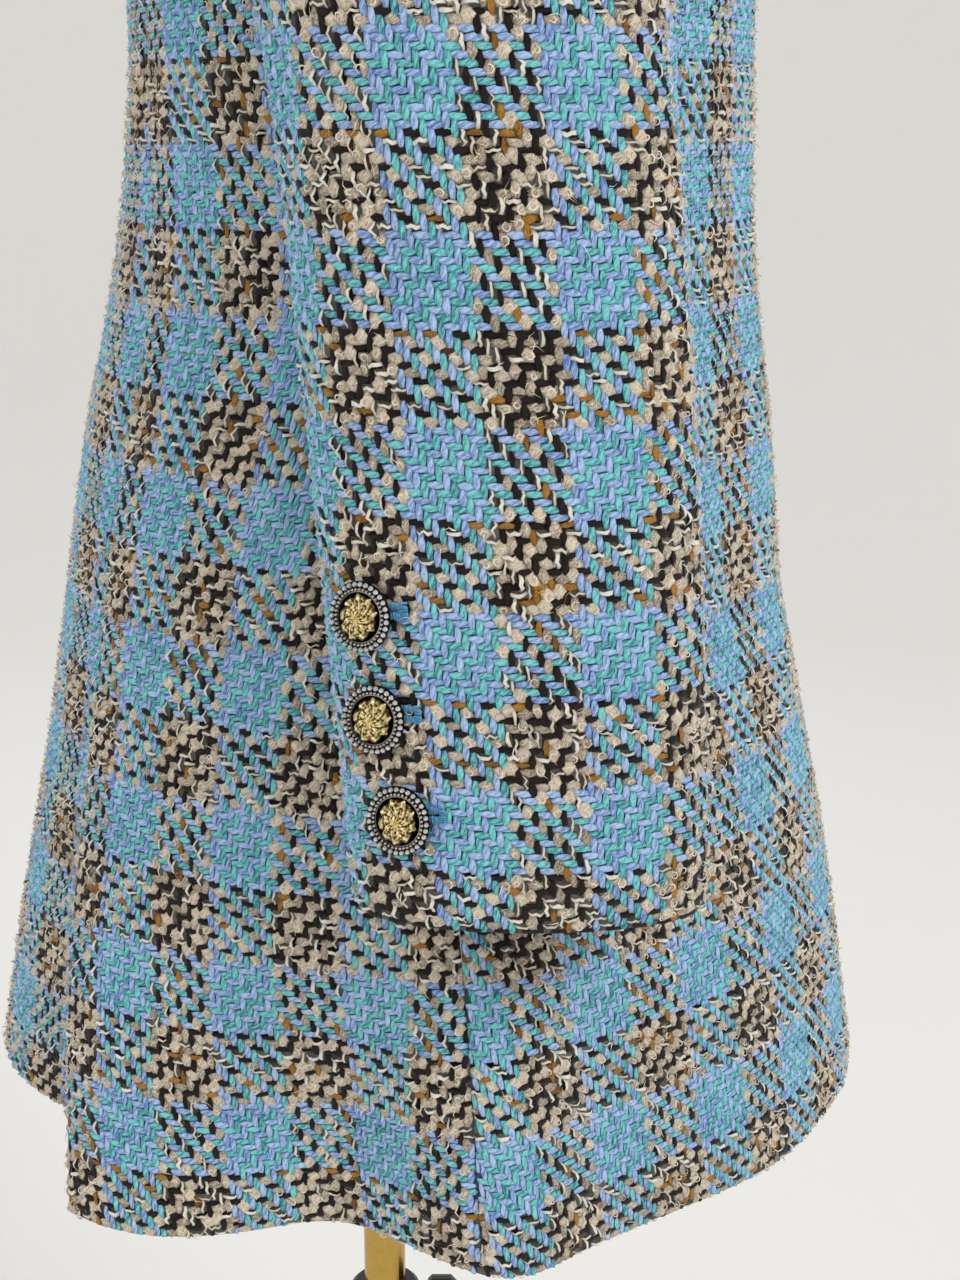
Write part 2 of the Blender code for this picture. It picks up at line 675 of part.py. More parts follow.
torso_low = HEM + TORSO_FOOT - GAP
turned("inner_pole", (
    (0, POLE_FOOT), (POLE_R - 0.001, POLE_FOOT), (POLE_R, POLE_FOOT + 0.001), (POLE_R, torso_low - 0.004),
    (0.030, torso_low - 0.004), (0.030, torso_low), (0, torso_low),
), BRASS, 32)
turned("outer_pole", (
    (POLE_R + RUN, BASE_HIGH + GAP), (TUBE_R, BASE_HIGH + GAP), (TUBE_R, TUBE_TOP), (POLE_R + RUN, TUBE_TOP),
), BRASS, 32)
turned("stand_base", (
    (0, 0), (BASE_R - 0.001, 0), (BASE_R, 0.001), (BASE_R, 0.006), (BASE_R - 0.004, 0.0085),
    (0.060, BASE_HIGH), (0.024, 0.016), (0.020, 0.034), (TUBE_R + GAP, 0.034), (TUBE_R + GAP, BASE_HIGH),
    (0, BASE_HIGH),
), BRASS, 48)
collar = turned("clamp_collar", (
    (TUBE_R + GAP, COLLAR_LOW), (COLLAR_R - 0.001, COLLAR_LOW), (COLLAR_R, COLLAR_LOW + 0.001),
    (COLLAR_R, COLLAR_HIGH - 0.002), (COLLAR_R - 0.002, COLLAR_HIGH), (POLE_R + RUN, COLLAR_HIGH),
    (POLE_R + RUN, TUBE_TOP + GAP), (TUBE_R + GAP, TUBE_TOP + GAP),
), BLACK, 32)

# The knob's screw lies along -Y and runs through the collar's side to the pole.
SCREW_R = 0.003
SCREW_TIP = POLE_R + GAP
KNOB_NEAR = COLLAR_R + 0.0045
KNOB_FAR = KNOB_NEAR + 0.015


def lay_forward(made):
    """Turn a mesh from the Z axis to the -Y axis, at the knob's height."""
    made.data.transform(Matrix(((1, 0, 0, 0), (0, 0, -1, 0), (0, 1, 0, KNOB_Z), (0, 0, 0, 1))))


hole = turned(
    "screw_hole_shape", ((0, 0.006), (SCREW_R + RUN, 0.006), (SCREW_R + RUN, 0.03), (0, 0.03)), BLACK, 24,
)
lay_forward(hole)
hole.hide_render = True
hole.display_type = "WIRE"
drill = collar.modifiers.new("screw_hole", "BOOLEAN")
drill.operation = "DIFFERENCE"
drill.solver = "EXACT"
drill.object = hole
knob = turned("clamp_knob", (
    (0, SCREW_TIP), (SCREW_R, SCREW_TIP), (SCREW_R, KNOB_NEAR), (KNOB_R - 0.002, KNOB_NEAR),
    (KNOB_R, KNOB_NEAR + 0.002), (KNOB_R, KNOB_FAR - 0.003), (KNOB_R - 0.003, KNOB_FAR), (0, KNOB_FAR),
), BLACK, 24)
lay_forward(knob)
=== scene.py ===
"""The looks of a flared tweed coat on a dress form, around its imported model."""

import math

import bpy
import numpy as np
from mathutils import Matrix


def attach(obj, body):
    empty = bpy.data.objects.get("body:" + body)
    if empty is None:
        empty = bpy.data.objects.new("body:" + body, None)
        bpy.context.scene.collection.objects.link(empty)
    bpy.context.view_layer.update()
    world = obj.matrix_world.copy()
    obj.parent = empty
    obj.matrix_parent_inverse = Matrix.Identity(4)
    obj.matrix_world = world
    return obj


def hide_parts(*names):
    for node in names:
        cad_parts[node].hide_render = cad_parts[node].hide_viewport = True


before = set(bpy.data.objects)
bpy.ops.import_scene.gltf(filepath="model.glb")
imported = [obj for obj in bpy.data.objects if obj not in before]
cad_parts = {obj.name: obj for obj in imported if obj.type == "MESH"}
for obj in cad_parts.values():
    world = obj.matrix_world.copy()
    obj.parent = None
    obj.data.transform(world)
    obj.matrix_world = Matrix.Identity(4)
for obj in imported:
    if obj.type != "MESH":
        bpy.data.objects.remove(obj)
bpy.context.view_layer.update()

# The camera stands to the wearer's right, a little above the cuff, and looks down at the coat's lower half.
CAMERA_PLACE = (-0.84, -0.049, 1.0664)
LOOKS_DOWN = math.radians(15.3)
LENS = 52.3


def placed(name, data):
    """A new object in the scene."""
    made = bpy.data.objects.new(name, data)
    bpy.context.collection.objects.link(made)
    return made


eye = placed("camera", bpy.data.cameras.new("camera"))
eye.location = CAMERA_PLACE
eye.rotation_euler = (math.pi / 2 - LOOKS_DOWN, 0, -math.pi / 2)
eye.data.lens = LENS
eye.data.sensor_width = 36
eye.data.clip_start = 0.02
bpy.context.scene.camera = eye


# The coat's form. It is an A-line coat whose rows of cloth lie level up to the chest and then round the
# shoulders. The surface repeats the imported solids', from the same sizes, with softer creases added to it.
HEM = 0.640
WALL = 0.002
GAP = 0.0003
LAP = 0.0036
CHEST = 0.600
TOP = 0.785
RISE = TOP - CHEST
SHOULDER_DROP = 0.040
NECK_X = 0.078
SHOULDER_X = 0.193
FRONT_NECK = 0.085
BACK_NECK = 0.020
LAP_X = 0.018
UNDERARM = 0.555
VENT_TOP = 0.380
UNDERLAP = 0.036
SEAM_TOP = 0.606
RIDGE_GAP = 0.0026  # the fronts and the back stop this far short of the shoulder's ridge
NEAR_TOP = TOP - RIDGE_GAP * RISE / (math.pi / 2)
TURN_STEP = 0.2  # degrees and metres over which the surface's slopes are taken
LEVEL_STEP = 0.0005

SECTIONS = np.array([
    # level, half width, half depth, middle y, power of the rounded section
    (0.000, 0.207, 0.2010, -0.0235, 2.00),
    (0.106, 0.199, 0.1835, -0.0240, 2.00),
    (0.181, 0.190, 0.1690, -0.0230, 2.00),
    (0.235, 0.183, 0.1590, -0.0220, 2.00),
    (0.285, 0.176, 0.1520, -0.0240, 2.05),
    (0.385, 0.166, 0.1350, -0.0285, 2.10),
    (0.457, 0.163, 0.1295, -0.0310, 2.15),
    (0.555, 0.165, 0.127, -0.0280, 2.20),
    (0.600, 0.175, 0.117, -0.0220, 2.30),
    (0.660, 0.192, 0.117, -0.0170, 2.45),
    (0.720, 0.206, 0.117, -0.0130, 2.55),
    (0.785, 0.212, 0.117, -0.0120, 2.60),
])
SIDE_SEAM = np.array([(0.00, 83.0), (0.20, 85.0), (0.40, 87.0), (UNDERARM, 88.0)])
BACK_SEAM = np.array([
    # level, degrees round from the centre front
    (0.000, 131.0), (0.100, 138.0), (0.225, 141.5), (0.380, 142.0), (0.480, 149.0),
    (0.530, 147.0), (0.570, 138.0), (0.600, 125.0), (SEAM_TOP, 121.5),
])
ARMHOLE = np.array([
    # level, front x, back x
    (UNDERARM, 0.1649, 0.1649), (0.565, 0.1600, 0.1615), (0.580, 0.1545, 0.1580), (0.600, 0.1510, 0.1550),
    (0.640, 0.1500, 0.1550), (0.680, 0.1600, 0.1640), (0.720, 0.1750, 0.1770), (0.760, 0.1880, 0.1885),
    (TOP, SHOULDER_X, SHOULDER_X),
])
FOLDS = np.array([
    # degrees at foot, degrees at head, width, height, foot level, head level
    # the skirt's flutes, which are in the solids too
    (80.0, 85.0, 8.0, 0.0150, 0.00, 0.20),
    (101.0, 103.0, 13.0, -0.0290, 0.00, 0.17),
    (56.0, 60.0, 13.0, -0.0060, 0.00, 0.26),
    (27.0, 39.0, 6.5, -0.0050, 0.16, 0.40),
    (180.0, 180.0, 20.0, 0.0050, 0.00, 0.22),
    (-81.0, -86.0, 10.0, 0.0120, 0.00, 0.22),
    (-101.0, -104.0, 12.0, -0.0160, 0.00, 0.20),
    (-54.0, -58.0, 12.0, -0.0050, 0.00, 0.21),
    (-24.0, -35.0, 7.0, -0.0040, 0.10, 0.34),
    # shallow creases, which are only here
    (66.0, 74.0, 3.5, -0.0022, 0.22, 0.45),
    (46.0, 53.0, 3.0, -0.0016, 0.02, 0.19),
    (118.0, 112.0, 3.5, -0.0018, 0.20, 0.43),
    (126.0, 121.0, 3.0, -0.0020, 0.04, 0.17),
    (95.0, 90.0, 3.0, -0.0015, 0.38, 0.52),
    (160.0, 168.0, 4.0, -0.0022, 0.30, 0.53),
    (201.0, 190.0, 4.0, -0.0020, 0.26, 0.47),
    (-63.0, -70.0, 3.5, -0.0020, 0.20, 0.41),
    (-44.0, -50.0, 3.0, -0.0018, 0.03, 0.20),
    (-117.0, -113.0, 3.5, -0.0020, 0.18, 0.45),
    (-94.0, -90.0, 3.0, -0.0015, 0.36, 0.51),
])


def smooth(table, column, at):
    """A table's column at any level, on a cubic curve through its rows."""
    xs, ys = table[:, 0], table[:, column]
    slope = np.gradient(ys, xs)
    at = np.clip(at, xs[0], xs[-1])
    i = np.clip(np.searchsorted(xs, at) - 1, 0, len(xs) - 2)
    width = xs[i + 1] - xs[i]
    f = (at - xs[i]) / width
    start = (2 * f**3 - 3 * f**2 + 1) * ys[i] + (f**3 - 2 * f**2 + f) * width * slope[i]
    end = (3 * f**2 - 2 * f**3) * ys[i + 1] + (f**3 - f**2) * width * slope[i + 1]
    return start + end


def step(x):
    """0 below 0, 1 above 1, and an S curve between."""
    x = np.clip(x, 0.0, 1.0)
    return x * x * (3 - 2 * x)


def stacked(*values):
    """Arrays set side by side on a new last axis, each stretched to the same shape."""
    return np.stack(np.broadcast_arrays(*values), axis=-1)


def unit(vectors):
    """The same directions at length 1."""
    return vectors / np.maximum(np.linalg.norm(vectors, axis=-1, keepdims=True), 1e-12)


def gone_along(points, axis):
    """How far each point of a grid or line is from its line's start, measured along the line."""
    steps = np.diff(points, axis=axis, prepend=np.take(points, [0], axis=axis))
    return np.cumsum(np.linalg.norm(steps, axis=-1), axis=axis)


def shoulder_angle(level):
    return np.maximum(level - CHEST, 0.0) / RISE * math.pi / 2


def height(level):
    return np.where(level > CHEST, CHEST + RISE * np.sin(shoulder_angle(level)), level)


def body(turn, level):
    """The coat without its folds: rounded sections that close over the shoulders as a quarter ellipse."""
    turn, level = np.broadcast_arrays(np.asarray(turn, float), np.asarray(level, float))
    half_x, half_y, middle, power = (smooth(SECTIONS, c, level) for c in (1, 2, 3, 4))
    half_y = half_y * np.cos(shoulder_angle(level))
    s, c = np.sin(np.radians(turn)), np.cos(np.radians(turn))
    x = -half_x * np.sign(s) * np.abs(s) ** (2 / power)
    y = middle - half_y * np.sign(c) * np.abs(c) ** (2 / power)
    slope = step((level - CHEST) / RISE) * SHOULDER_DROP / (SHOULDER_X - NECK_X)
    z = HEM + height(level) - slope * np.maximum(np.abs(x) - NECK_X, 0.0)
    return stacked(x, y, z)


def folds(turn, level):
    """Soft folds: each is a bell curve round the coat that fades out between its foot and its head."""
    out = np.zeros(np.broadcast(turn, level).shape)
    for at_foot, at_head, width, depth, foot, head in FOLDS:
        f = (level - foot) / (head - foot)
        middle = at_foot + (at_head - at_foot) * np.clip(f, 0, 1)
        away = (turn - middle + 180) % 360 - 180
        fade = 1 - step(f) if foot == 0 else np.sin(math.pi * np.clip(f, 0, 1)) ** 2
        out = out + depth * fade * np.exp(-((away / width) ** 2))
    return out


def lifted(lift):
    """The coat's surface moved out by its folds and by lift(turn, level)."""
    def surface(turn, level):
        turn, level = np.broadcast_arrays(turn, level)
        round_it = body(turn + TURN_STEP, level) - body(turn - TURN_STEP, level)
        up_it = body(turn, level + LEVEL_STEP) - body(turn, level - LEVEL_STEP)
        out = folds(turn, level) + lift(turn, level)
        return body(turn, level) + out[..., None] * unit(np.cross(up_it, round_it))
    return surface


def at_x(x, level, back=False):
    """The turn where the section at a level is x from the centre."""
    half_x, power = smooth(SECTIONS, 1, level), smooth(SECTIONS, 4, level)
    turn = np.degrees(np.arcsin(np.clip(np.abs(x) / half_x, 0, 1) ** (power / 2)))
    return 180 - turn if back else turn


def seam(table, table_top, column):
    """A seam's turn at each level: the table's up to its top, and then the armhole's front or back x."""
    def turn(level):
        on_armhole = at_x(smooth(ARMHOLE, column, level), level, back=column == 2)
        return np.where(level <= table_top, smooth(table, 1, level), on_armhole)
    return turn


side_seam = seam(SIDE_SEAM, UNDERARM, 1)
side_top = seam(SIDE_SEAM, UNDERARM, 2)
back_seam = seam(BACK_SEAM, SEAM_TOP, 2)


# The cloth: a thick two-and-two twill of smooth lavender and teal yarns, in stripes with loopy taupe, black
# and mustard slub yarns both ways, so that blue squares and dark squares change places. A thread's place on
# a panel is counted in ends across and picks up, and the pattern is worked out from that count alone.
END = 0.00245
PICK = 0.00254
ENDS = 22
PICKS = 24


class Reading:
    """A number or colour that a shader works out. Sums are written with it as with any number."""

    def __init__(self, socket):
        self.socket = socket

    def __add__(self, other):
        return reckon("ADD", self, other)

    def __sub__(self, other):
        return reckon("SUBTRACT", self, other)

    def __rsub__(self, other):
        return reckon("SUBTRACT", other, self)

    def __mul__(self, other):
        return reckon("MULTIPLY", self, other)

    def __mod__(self, other):
        return reckon("FLOORED_MODULO", self, other)

    def __lt__(self, other):
        return reckon("LESS_THAN", self, other)

    def __gt__(self, other):
        return reckon("GREATER_THAN", self, other)

    def __pow__(self, other):
        return reckon("POWER", self, other)

    __radd__ = __add__
    __rmul__ = __mul__


def feed(socket, value):
    """Give a socket a reading or a plain value."""
    if isinstance(value, Reading):
        socket.id_data.links.new(value.socket, socket)
    else:
        socket.default_value = value


def worked_out(kind, inputs, output=0, tree=None, **settings):
    """What a shader node gives. The node is made in the tree that its readings come from."""
    tree = tree or next(v.socket.id_data for v in inputs.values() if isinstance(v, Reading))
    node = tree.nodes.new("ShaderNode" + kind)
    for key, value in settings.items():
        setattr(node, key, value)
    for key, value in inputs.items():
        feed(node.inputs[key], value)
    return Reading(node.outputs[output])


def reckon(operation, *values):
    """A Math node's result."""
    return worked_out("Math", dict(enumerate(values)), operation=operation)


def blend(factor, one, two):
    """A colour or number between one and two."""
    colour = one.socket.type == "RGBA" if isinstance(one, Reading) else isinstance(one, tuple)
    at, output, kind = (6, 2, "RGBA") if colour else (2, 0, "FLOAT")  # a Mix node's sockets for either kind
    return worked_out("Mix", {0: factor, at: one, at + 1: two}, output, data_type=kind)


def joined(x, y, z):
    """Three readings as one place."""
    return worked_out("CombineXYZ", {0: x, 1: y, 2: z})


def parted(place, count):
    """The first readings of a place."""
    return [worked_out("SeparateXYZ", {0: place}, k) for k in range(count)]


def speckle(place, scale, detail=2.0, swirl=0.0):
    """A soft noise from 0 to 1."""
    inputs = {"Vector": place, "Scale": scale, "Detail": detail, "Roughness": 0.6, "Distortion": swirl}
    return worked_out("TexNoise", inputs, "Fac")


def chance(place):
    """A number from 0 to 1, the same all over each cell."""
    return worked_out("TexWhiteNoise", {"Vector": place}, "Value")


def kept_value(tree, name):
    """A number that the mesh keeps for each of its points."""
    return worked_out("Attribute", {}, "Fac", tree, attribute_name=name)


def above(value, edge, width):
    """0 below the edge and 1 above it, over a soft width."""
    inputs = {"Value": value, "From Min": edge - width, "From Max": edge + width}
    return worked_out("MapRange", inputs, "Result", interpolation_type="SMOOTHSTEP")


def raised(relief, strength, distance):
    """The normal of a face with a relief on it."""
    return worked_out("Bump", {"Strength": strength, "Distance": distance, "Height": relief})


def paint(red, green, blue):
    """A colour for a shader, from display values of 0 to 255."""
    linear = [((v / 255 + 0.055) / 1.055) ** 2.4 if v > 10 else v / 255 / 12.92 for v in (red, green, blue)]
    return (*linear, 1.0)


def new_finish(name):
    """A new material, its node tree and a function that feeds its shader."""
    made = bpy.data.materials.new(name)
    made.use_nodes = True
    tree = made.node_tree

    def dress(inputs):
        for key, value in inputs.items():
            feed(tree.nodes["Principled BSDF"].inputs[key], value)
    return made, tree, dress


LAVENDER = (paint(92, 122, 192), paint(192, 216, 255))
TEAL = (paint(28, 112, 124), paint(134, 226, 224))
TAUPE = (paint(108, 93, 79), paint(242, 227, 204))
BLACK = (paint(6, 4, 5), paint(46, 36, 32))
MUSTARD = (paint(92, 54, 14), paint(190, 136, 56))
CREAM = (paint(206, 190, 164), paint(255, 251, 240))
CREAM_BELOW = 0.34  # fluffy yarns with a lower draw are thin cream ones instead
THIN_ABOVE = 0.70  # and so are pile yarns with a higher draw
MUSTARD_BELOW = 0.27


def tweed(name, flat):
    """The cloth's finish. flat is the plain wall behind, whose bump has to give the threads their roundness;
    the yarns that lie on it have their own."""
    made, tree, dress = new_finish(name)

    # Which thread lies on top at a place, how far along it and across it the place is, where its float
    # begins, and where the thread stands in its repeat. u counts ends and v counts picks.
    u, v = parted(worked_out("UVMap", {}, tree=tree, uv_map="threads"), 2)
    i, j = reckon("FLOOR", u), reckon("FLOOR", v)
    m = (j - i) % 4.0
    upright = m < 1.5
    thread, along, across = blend(upright, j, i), blend(upright, u, v), blend(upright, v - j, u - i)
    repeat = blend(upright, float(PICKS), float(ENDS))
    first = blend(upright, i - (3.0 - m), j - m)
    k = thread % repeat
    dark_stripe = k < repeat * 0.5 - 0.5
    odd = thread % 2.0

    # The yarns' own numbers and the fibres that run along them.
    if flat:
        draw = chance(joined(thread, first, upright * 37.0))
        draw_two = chance(joined(thread + 0.5, first, upright))
    else:
        draw, draw_two = kept_value(tree, "draw"), kept_value(tree, "size")
    fibre_place = joined(along * 1.3, across * 5.5 + along * 3.0, thread * 3.7)
    fibres, strands = speckle(fibre_place, 1.5, 3.0), speckle(fibre_place, 0.6, 1.0)
    curls = speckle(fibre_place, 1.0, 3.0, 2.2)
    twist = reckon("SINE", math.pi * 2 * (across * 1.1 + along * 0.8))
    # tone is the fibres' own mix of light and dark, and through its twist term also a faint painted shade in
    # the grooves of the twist
    tone = above(fibres + draw * 0.22 + twist * 0.07, 0.57, 0.21)
    rough_tone = above(curls + draw_two * 0.16, 0.55, 0.20)

    # The colours: lavender and teal yarns by turns, and loopy yarns by turns with pile ones.
    lavender = reckon("MAXIMUM", k > repeat - 1.5, 1.0 - odd)
    lavender = above(lavender + strands * 1.5, 1.25, 0.62)
    blue = blend(lavender, blend(tone, *TEAL), blend(tone, *LAVENDER))
    cream = blend(rough_tone, *CREAM)
    loops = blend(above(draw, CREAM_BELOW, 0.001), cream, blend(rough_tone, *TAUPE))
    pile = blend(above(draw, MUSTARD_BELOW, 0.001), blend(rough_tone, *MUSTARD), blend(rough_tone, *BLACK))
    pile = blend(above(draw, THIN_ABOVE, 0.001), pile, cream)
    colour = blend(dark_stripe, blue, blend(odd, loops, pile))

    # The painted shade between yarns: a yarn's colour darkens towards near black to its sides and to the ends
    # of its float.
    sides = 1.0 - reckon("ABSOLUTE", across * 2.0 - 1.0) ** 2.2
    ends = reckon("SINE", (along - first) * 0.5 * math.pi)
    shape = sides**0.6 * ends**0.4
    if flat:
        # The wall shows in the gaps between floats: its outer face is painted 80% of the way to near black,
        # as painted shade in those gaps, and its inner face is darkened a quarter of the way.
        colour = blend(blend(kept_value(tree, "inside"), 0.80, 0.25), colour, paint(8, 9, 12))
    else:
        # painted shade: near black mixed into the colour at a float's sides and ends
        painted_shade = blend(blend(dark_stripe, 0.74, 0.86), colour, paint(10, 12, 16))
        colour = blend(above(shape, 0.36, 0.44), painted_shade, colour)
    relief = blend(dark_stripe, fibres + twist * 0.25, curls * 2.0) + shape * (1.0 if flat else 0.3)
    dress({
        "Base Color": colour, "Roughness": 0.9, "Specular IOR Level": 0.18, "Sheen Weight": 0.22,
        "Sheen Roughness": 0.45, "Sheen Tint": paint(225, 228, 235), "Normal": raised(relief, 0.55, 0.0006),
    })
    return made


CLOTH = tweed("tweed_wall", True)
YARNS = tweed("tweed_yarns", False)


def mesh_of(name, points, faces, smooth_it=True):
    """A mesh from an array of points and a list of arrays of faces."""
    mesh = bpy.data.meshes.new(name)
    counts = np.concatenate([np.full(len(f), f.shape[1]) for f in faces]).astype(np.int32)
    corners = np.concatenate([f.ravel() for f in faces]).astype(np.int32)
    mesh.vertices.add(len(points))
    mesh.vertices.foreach_set("co", np.asarray(points, np.float32).ravel())
    mesh.loops.add(len(corners))
    mesh.loops.foreach_set("vertex_index", corners)
    mesh.polygons.add(len(counts))
    mesh.polygons.foreach_set("loop_start", np.cumsum(counts, dtype=np.int32) - counts)
    mesh.polygons.foreach_set("loop_total", counts)
    mesh.update(calc_edges=True)
    mesh.validate()
    if smooth_it:
        mesh.shade_smooth()
    return mesh


def keep(mesh, name, values):
    """Keep a number for each of the mesh's points, for its finish to read."""
    layer = mesh.attributes.new(name, "FLOAT", "POINT")
    layer.data.foreach_set("value", np.ascontiguousarray(values, np.float32))


def cells(wide, high):
    """The quads of a grid of points, wide across and high along."""
    return np.array([
        (wide * r + c, wide * r + c + 1, wide * (r + 1) + c + 1, wide * (r + 1) + c)
        for r in range(high - 1) for c in range(wide - 1)
    ])


def repeated(cell, points_each, over):
    """The same faces for each of many small grids, turned over where over is true."""
    faces = np.where(over[:, None, None], cell[:, ::-1][None], cell[None])
    return (faces + (np.arange(len(over)) * points_each)[:, None, None]).reshape(-1, cell.shape[1])


def shown(name, mesh, material):
    """Place a finished mesh as one piece that rides on the form and takes its finish from a slot."""
    mesh.materials.append(material)
    made = placed(name, mesh)
    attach(made, "form")
    return made


def thread_map(mesh, per_vertex):
    """Store each vertex's place in threads as the mesh's UV map."""
    layer = mesh.uv_layers.new(name="threads")
    corner = np.zeros(len(mesh.loops), np.int32)
    mesh.loops.foreach_get("vertex_index", corner)
    layer.data.foreach_set("uv", np.asarray(per_vertex, np.float32)[corner].ravel())


# The coat's panels. Each is laid out as a table of its surface, rows up the cloth and columns across it, and
# then made twice over: as a closed wall of cloth, and as the yarn floats that lie on the wall's face. A float
# is a yarn where it passes over two others, a small pillow; the loopy yarns make fatter, uneven ones.
TABLE_STEP = 0.003
WALL_EVERY = 4  # the wall takes every fourth row and column
WALL_SUNK = 0.0011  # how far the wall's face lies below the cloth's mean surface
YARN_SUNK = 0.0003
YARN_HIGH = 0.00120
ROLL = 0.0014  # how far an edge or a seam is drawn in
ROLL_WIDTH = 0.0032
LAYOUT_FINE = 160
BODY_CORE = np.array([0.0, -0.02, 0.0])
SLEEVE_CORE = np.array([-0.2165, -0.050, 0.0])
THIN, FLUFFY, PILE, SMOOTH = range(4)  # kinds of yarn
YARN_SHAPES = np.array([
    # fat, more by size, more by its square, long, more by chance, tall, more by size, taper, waver, stray
    (0.34, 0, 0.30, 1.15, 0, 1.05, 0.6, 0.95, 0.11, 0.05),
    (1.38, 0, 1.00, 1.02, 0.25, 0.80, 1.0, 0.52, 0.06, 0.12),
    (0.78, 0.30, 0, 1.10, 0, 0.30, 0.4, 0.60, 0.07, 0.07),
    (1.00, 0.14, 0, 1.24, 0.06, 0.90, 0.25, 0.64, 0.02, 0.03),
])
FUZZ_SHARES = np.array([0.2, 1.0, 0.3, 0.07])  # by kind
CURL_SHARES = np.array([0.0, 1.0, 0.12, 0.0])
SHRUNK = 0.96  # a float's share of its cells in the thread count, so that its edge stays its own colour
THREAD_DRAWS = 2000
OWN_DRAWS = 997  # threads one way whose own draws differ
THREAD_SHARE = 0.4  # a thread's share of each draw on it
HAIRS_PER_FLOAT = 0.10
HAIR_WIDE = 0.00030
CURLS_PER_FLOAT = 0.106
CURL_POINTS = 6
CURL_WIDE = 0.00046


def read(values, at):
    """A list's value at a place between its entries."""
    return np.interp(at, np.arange(len(values)), values)


def between(values, row, column):
    """A table's value between its nodes, weighted by how near each one is."""
    r, c = (np.minimum(at.astype(int), size - 2) for at, size in zip((row, column), values.shape))
    f, g = (row - r)[..., None], (column - c)[..., None]
    low = values[r, c] * (1 - g) + values[r, c + 1] * g
    high = values[r + 1, c] * (1 - g) + values[r + 1, c + 1] * g
    return low * (1 - f) + high * f


class Panel:
    """A panel's surface as a table of points, rows up the cloth from the hem and columns across it. climbs is
    each row's distance up, length each row's width, tops each column's height, and reference how far along
    each row the count of ends begins. core is a point inside the coat. sense, first_end and first_pick place
    the weave on it."""

    def __init__(self, points, climbs, length, tops, reference, core):
        self.points, self.climbs = points, climbs
        self.length, self.tops, self.reference = length, tops, reference
        n = unit(np.cross(np.gradient(points, axis=0), np.gradient(points, axis=1)))
        faces_in = (n * (points - core) * [1, 1, 0]).sum(axis=-1).mean() < 0
        self.normals = -n if faces_in else n

    def row_at(self, climb):
        return np.clip(climb / self.climbs[-1], 0, 1) * (len(self.climbs) - 1)

    def column_at(self, away, length):
        return np.clip(away / length, 0, 1) * (len(self.tops) - 1)

    def spot(self, away, climb, rise):
        """Points away from the start edge, climb up from the hem and rise out from the surface, with the
        normals there. The panel's edges are drawn in by a short bell curve."""
        row = self.row_at(climb)
        length = read(self.length, row)
        column = self.column_at(away, length)
        n = between(self.normals, row, column)
        near = np.minimum(np.minimum(away, length - away), np.minimum(climb, read(self.tops, column) - climb))
        rise = rise - ROLL * np.exp(-((np.maximum(near, 0) / ROLL_WIDTH) ** 2))
        return between(self.points, row, column) + rise[..., None] * n, n

    def place_of(self, u, v):
        """Where a count of threads lies: how far from the start edge and from the hem, with the panel's
        length and top there."""
        climb = (v - self.first_pick) * PICK
        row = self.row_at(climb)
        length = read(self.length, row)
        away = (u - self.first_end) * END / self.sense + read(self.reference, row)
        return away, climb, length, read(self.tops, self.column_at(away, length))

    def on_cloth(self, u, v, rise):
        """Points at a count of threads, kept within the panel, and the normals there."""
        away, climb, length, top = self.place_of(u, v)
        return self.spot(np.clip(away, 0, length), np.clip(climb, 0, top), rise)


def lay_out(surface, start, end, top, top_rule=None, reference=0.0):
    """A body panel: rows a step apart up from the hem, columns equally far apart along each row."""
    climbs = np.linspace(0.0, top, int(round(top / TABLE_STEP)) + 1)
    turns = start(climbs)[:, None] + (end(climbs) - start(climbs))[:, None] * np.linspace(0, 1, LAYOUT_FINE)
    gone = gone_along(surface(turns, climbs[:, None]), 1)
    length = gone[:, -1]
    columns = int(round(length.max() / TABLE_STEP)) + 1
    wanted = GAP / 2 + np.linspace(0, 1, columns) * (length[:, None] - GAP)
    turn = np.array([np.interp(w, g, t) for w, g, t in zip(wanted, gone, turns)])
    points = surface(turn, climbs[:, None])
    tops = np.full(columns, top) if top_rule is None else top_rule(points, climbs)
    return Panel(points, climbs, length - GAP, tops, reference * (length - GAP), BODY_CORE)


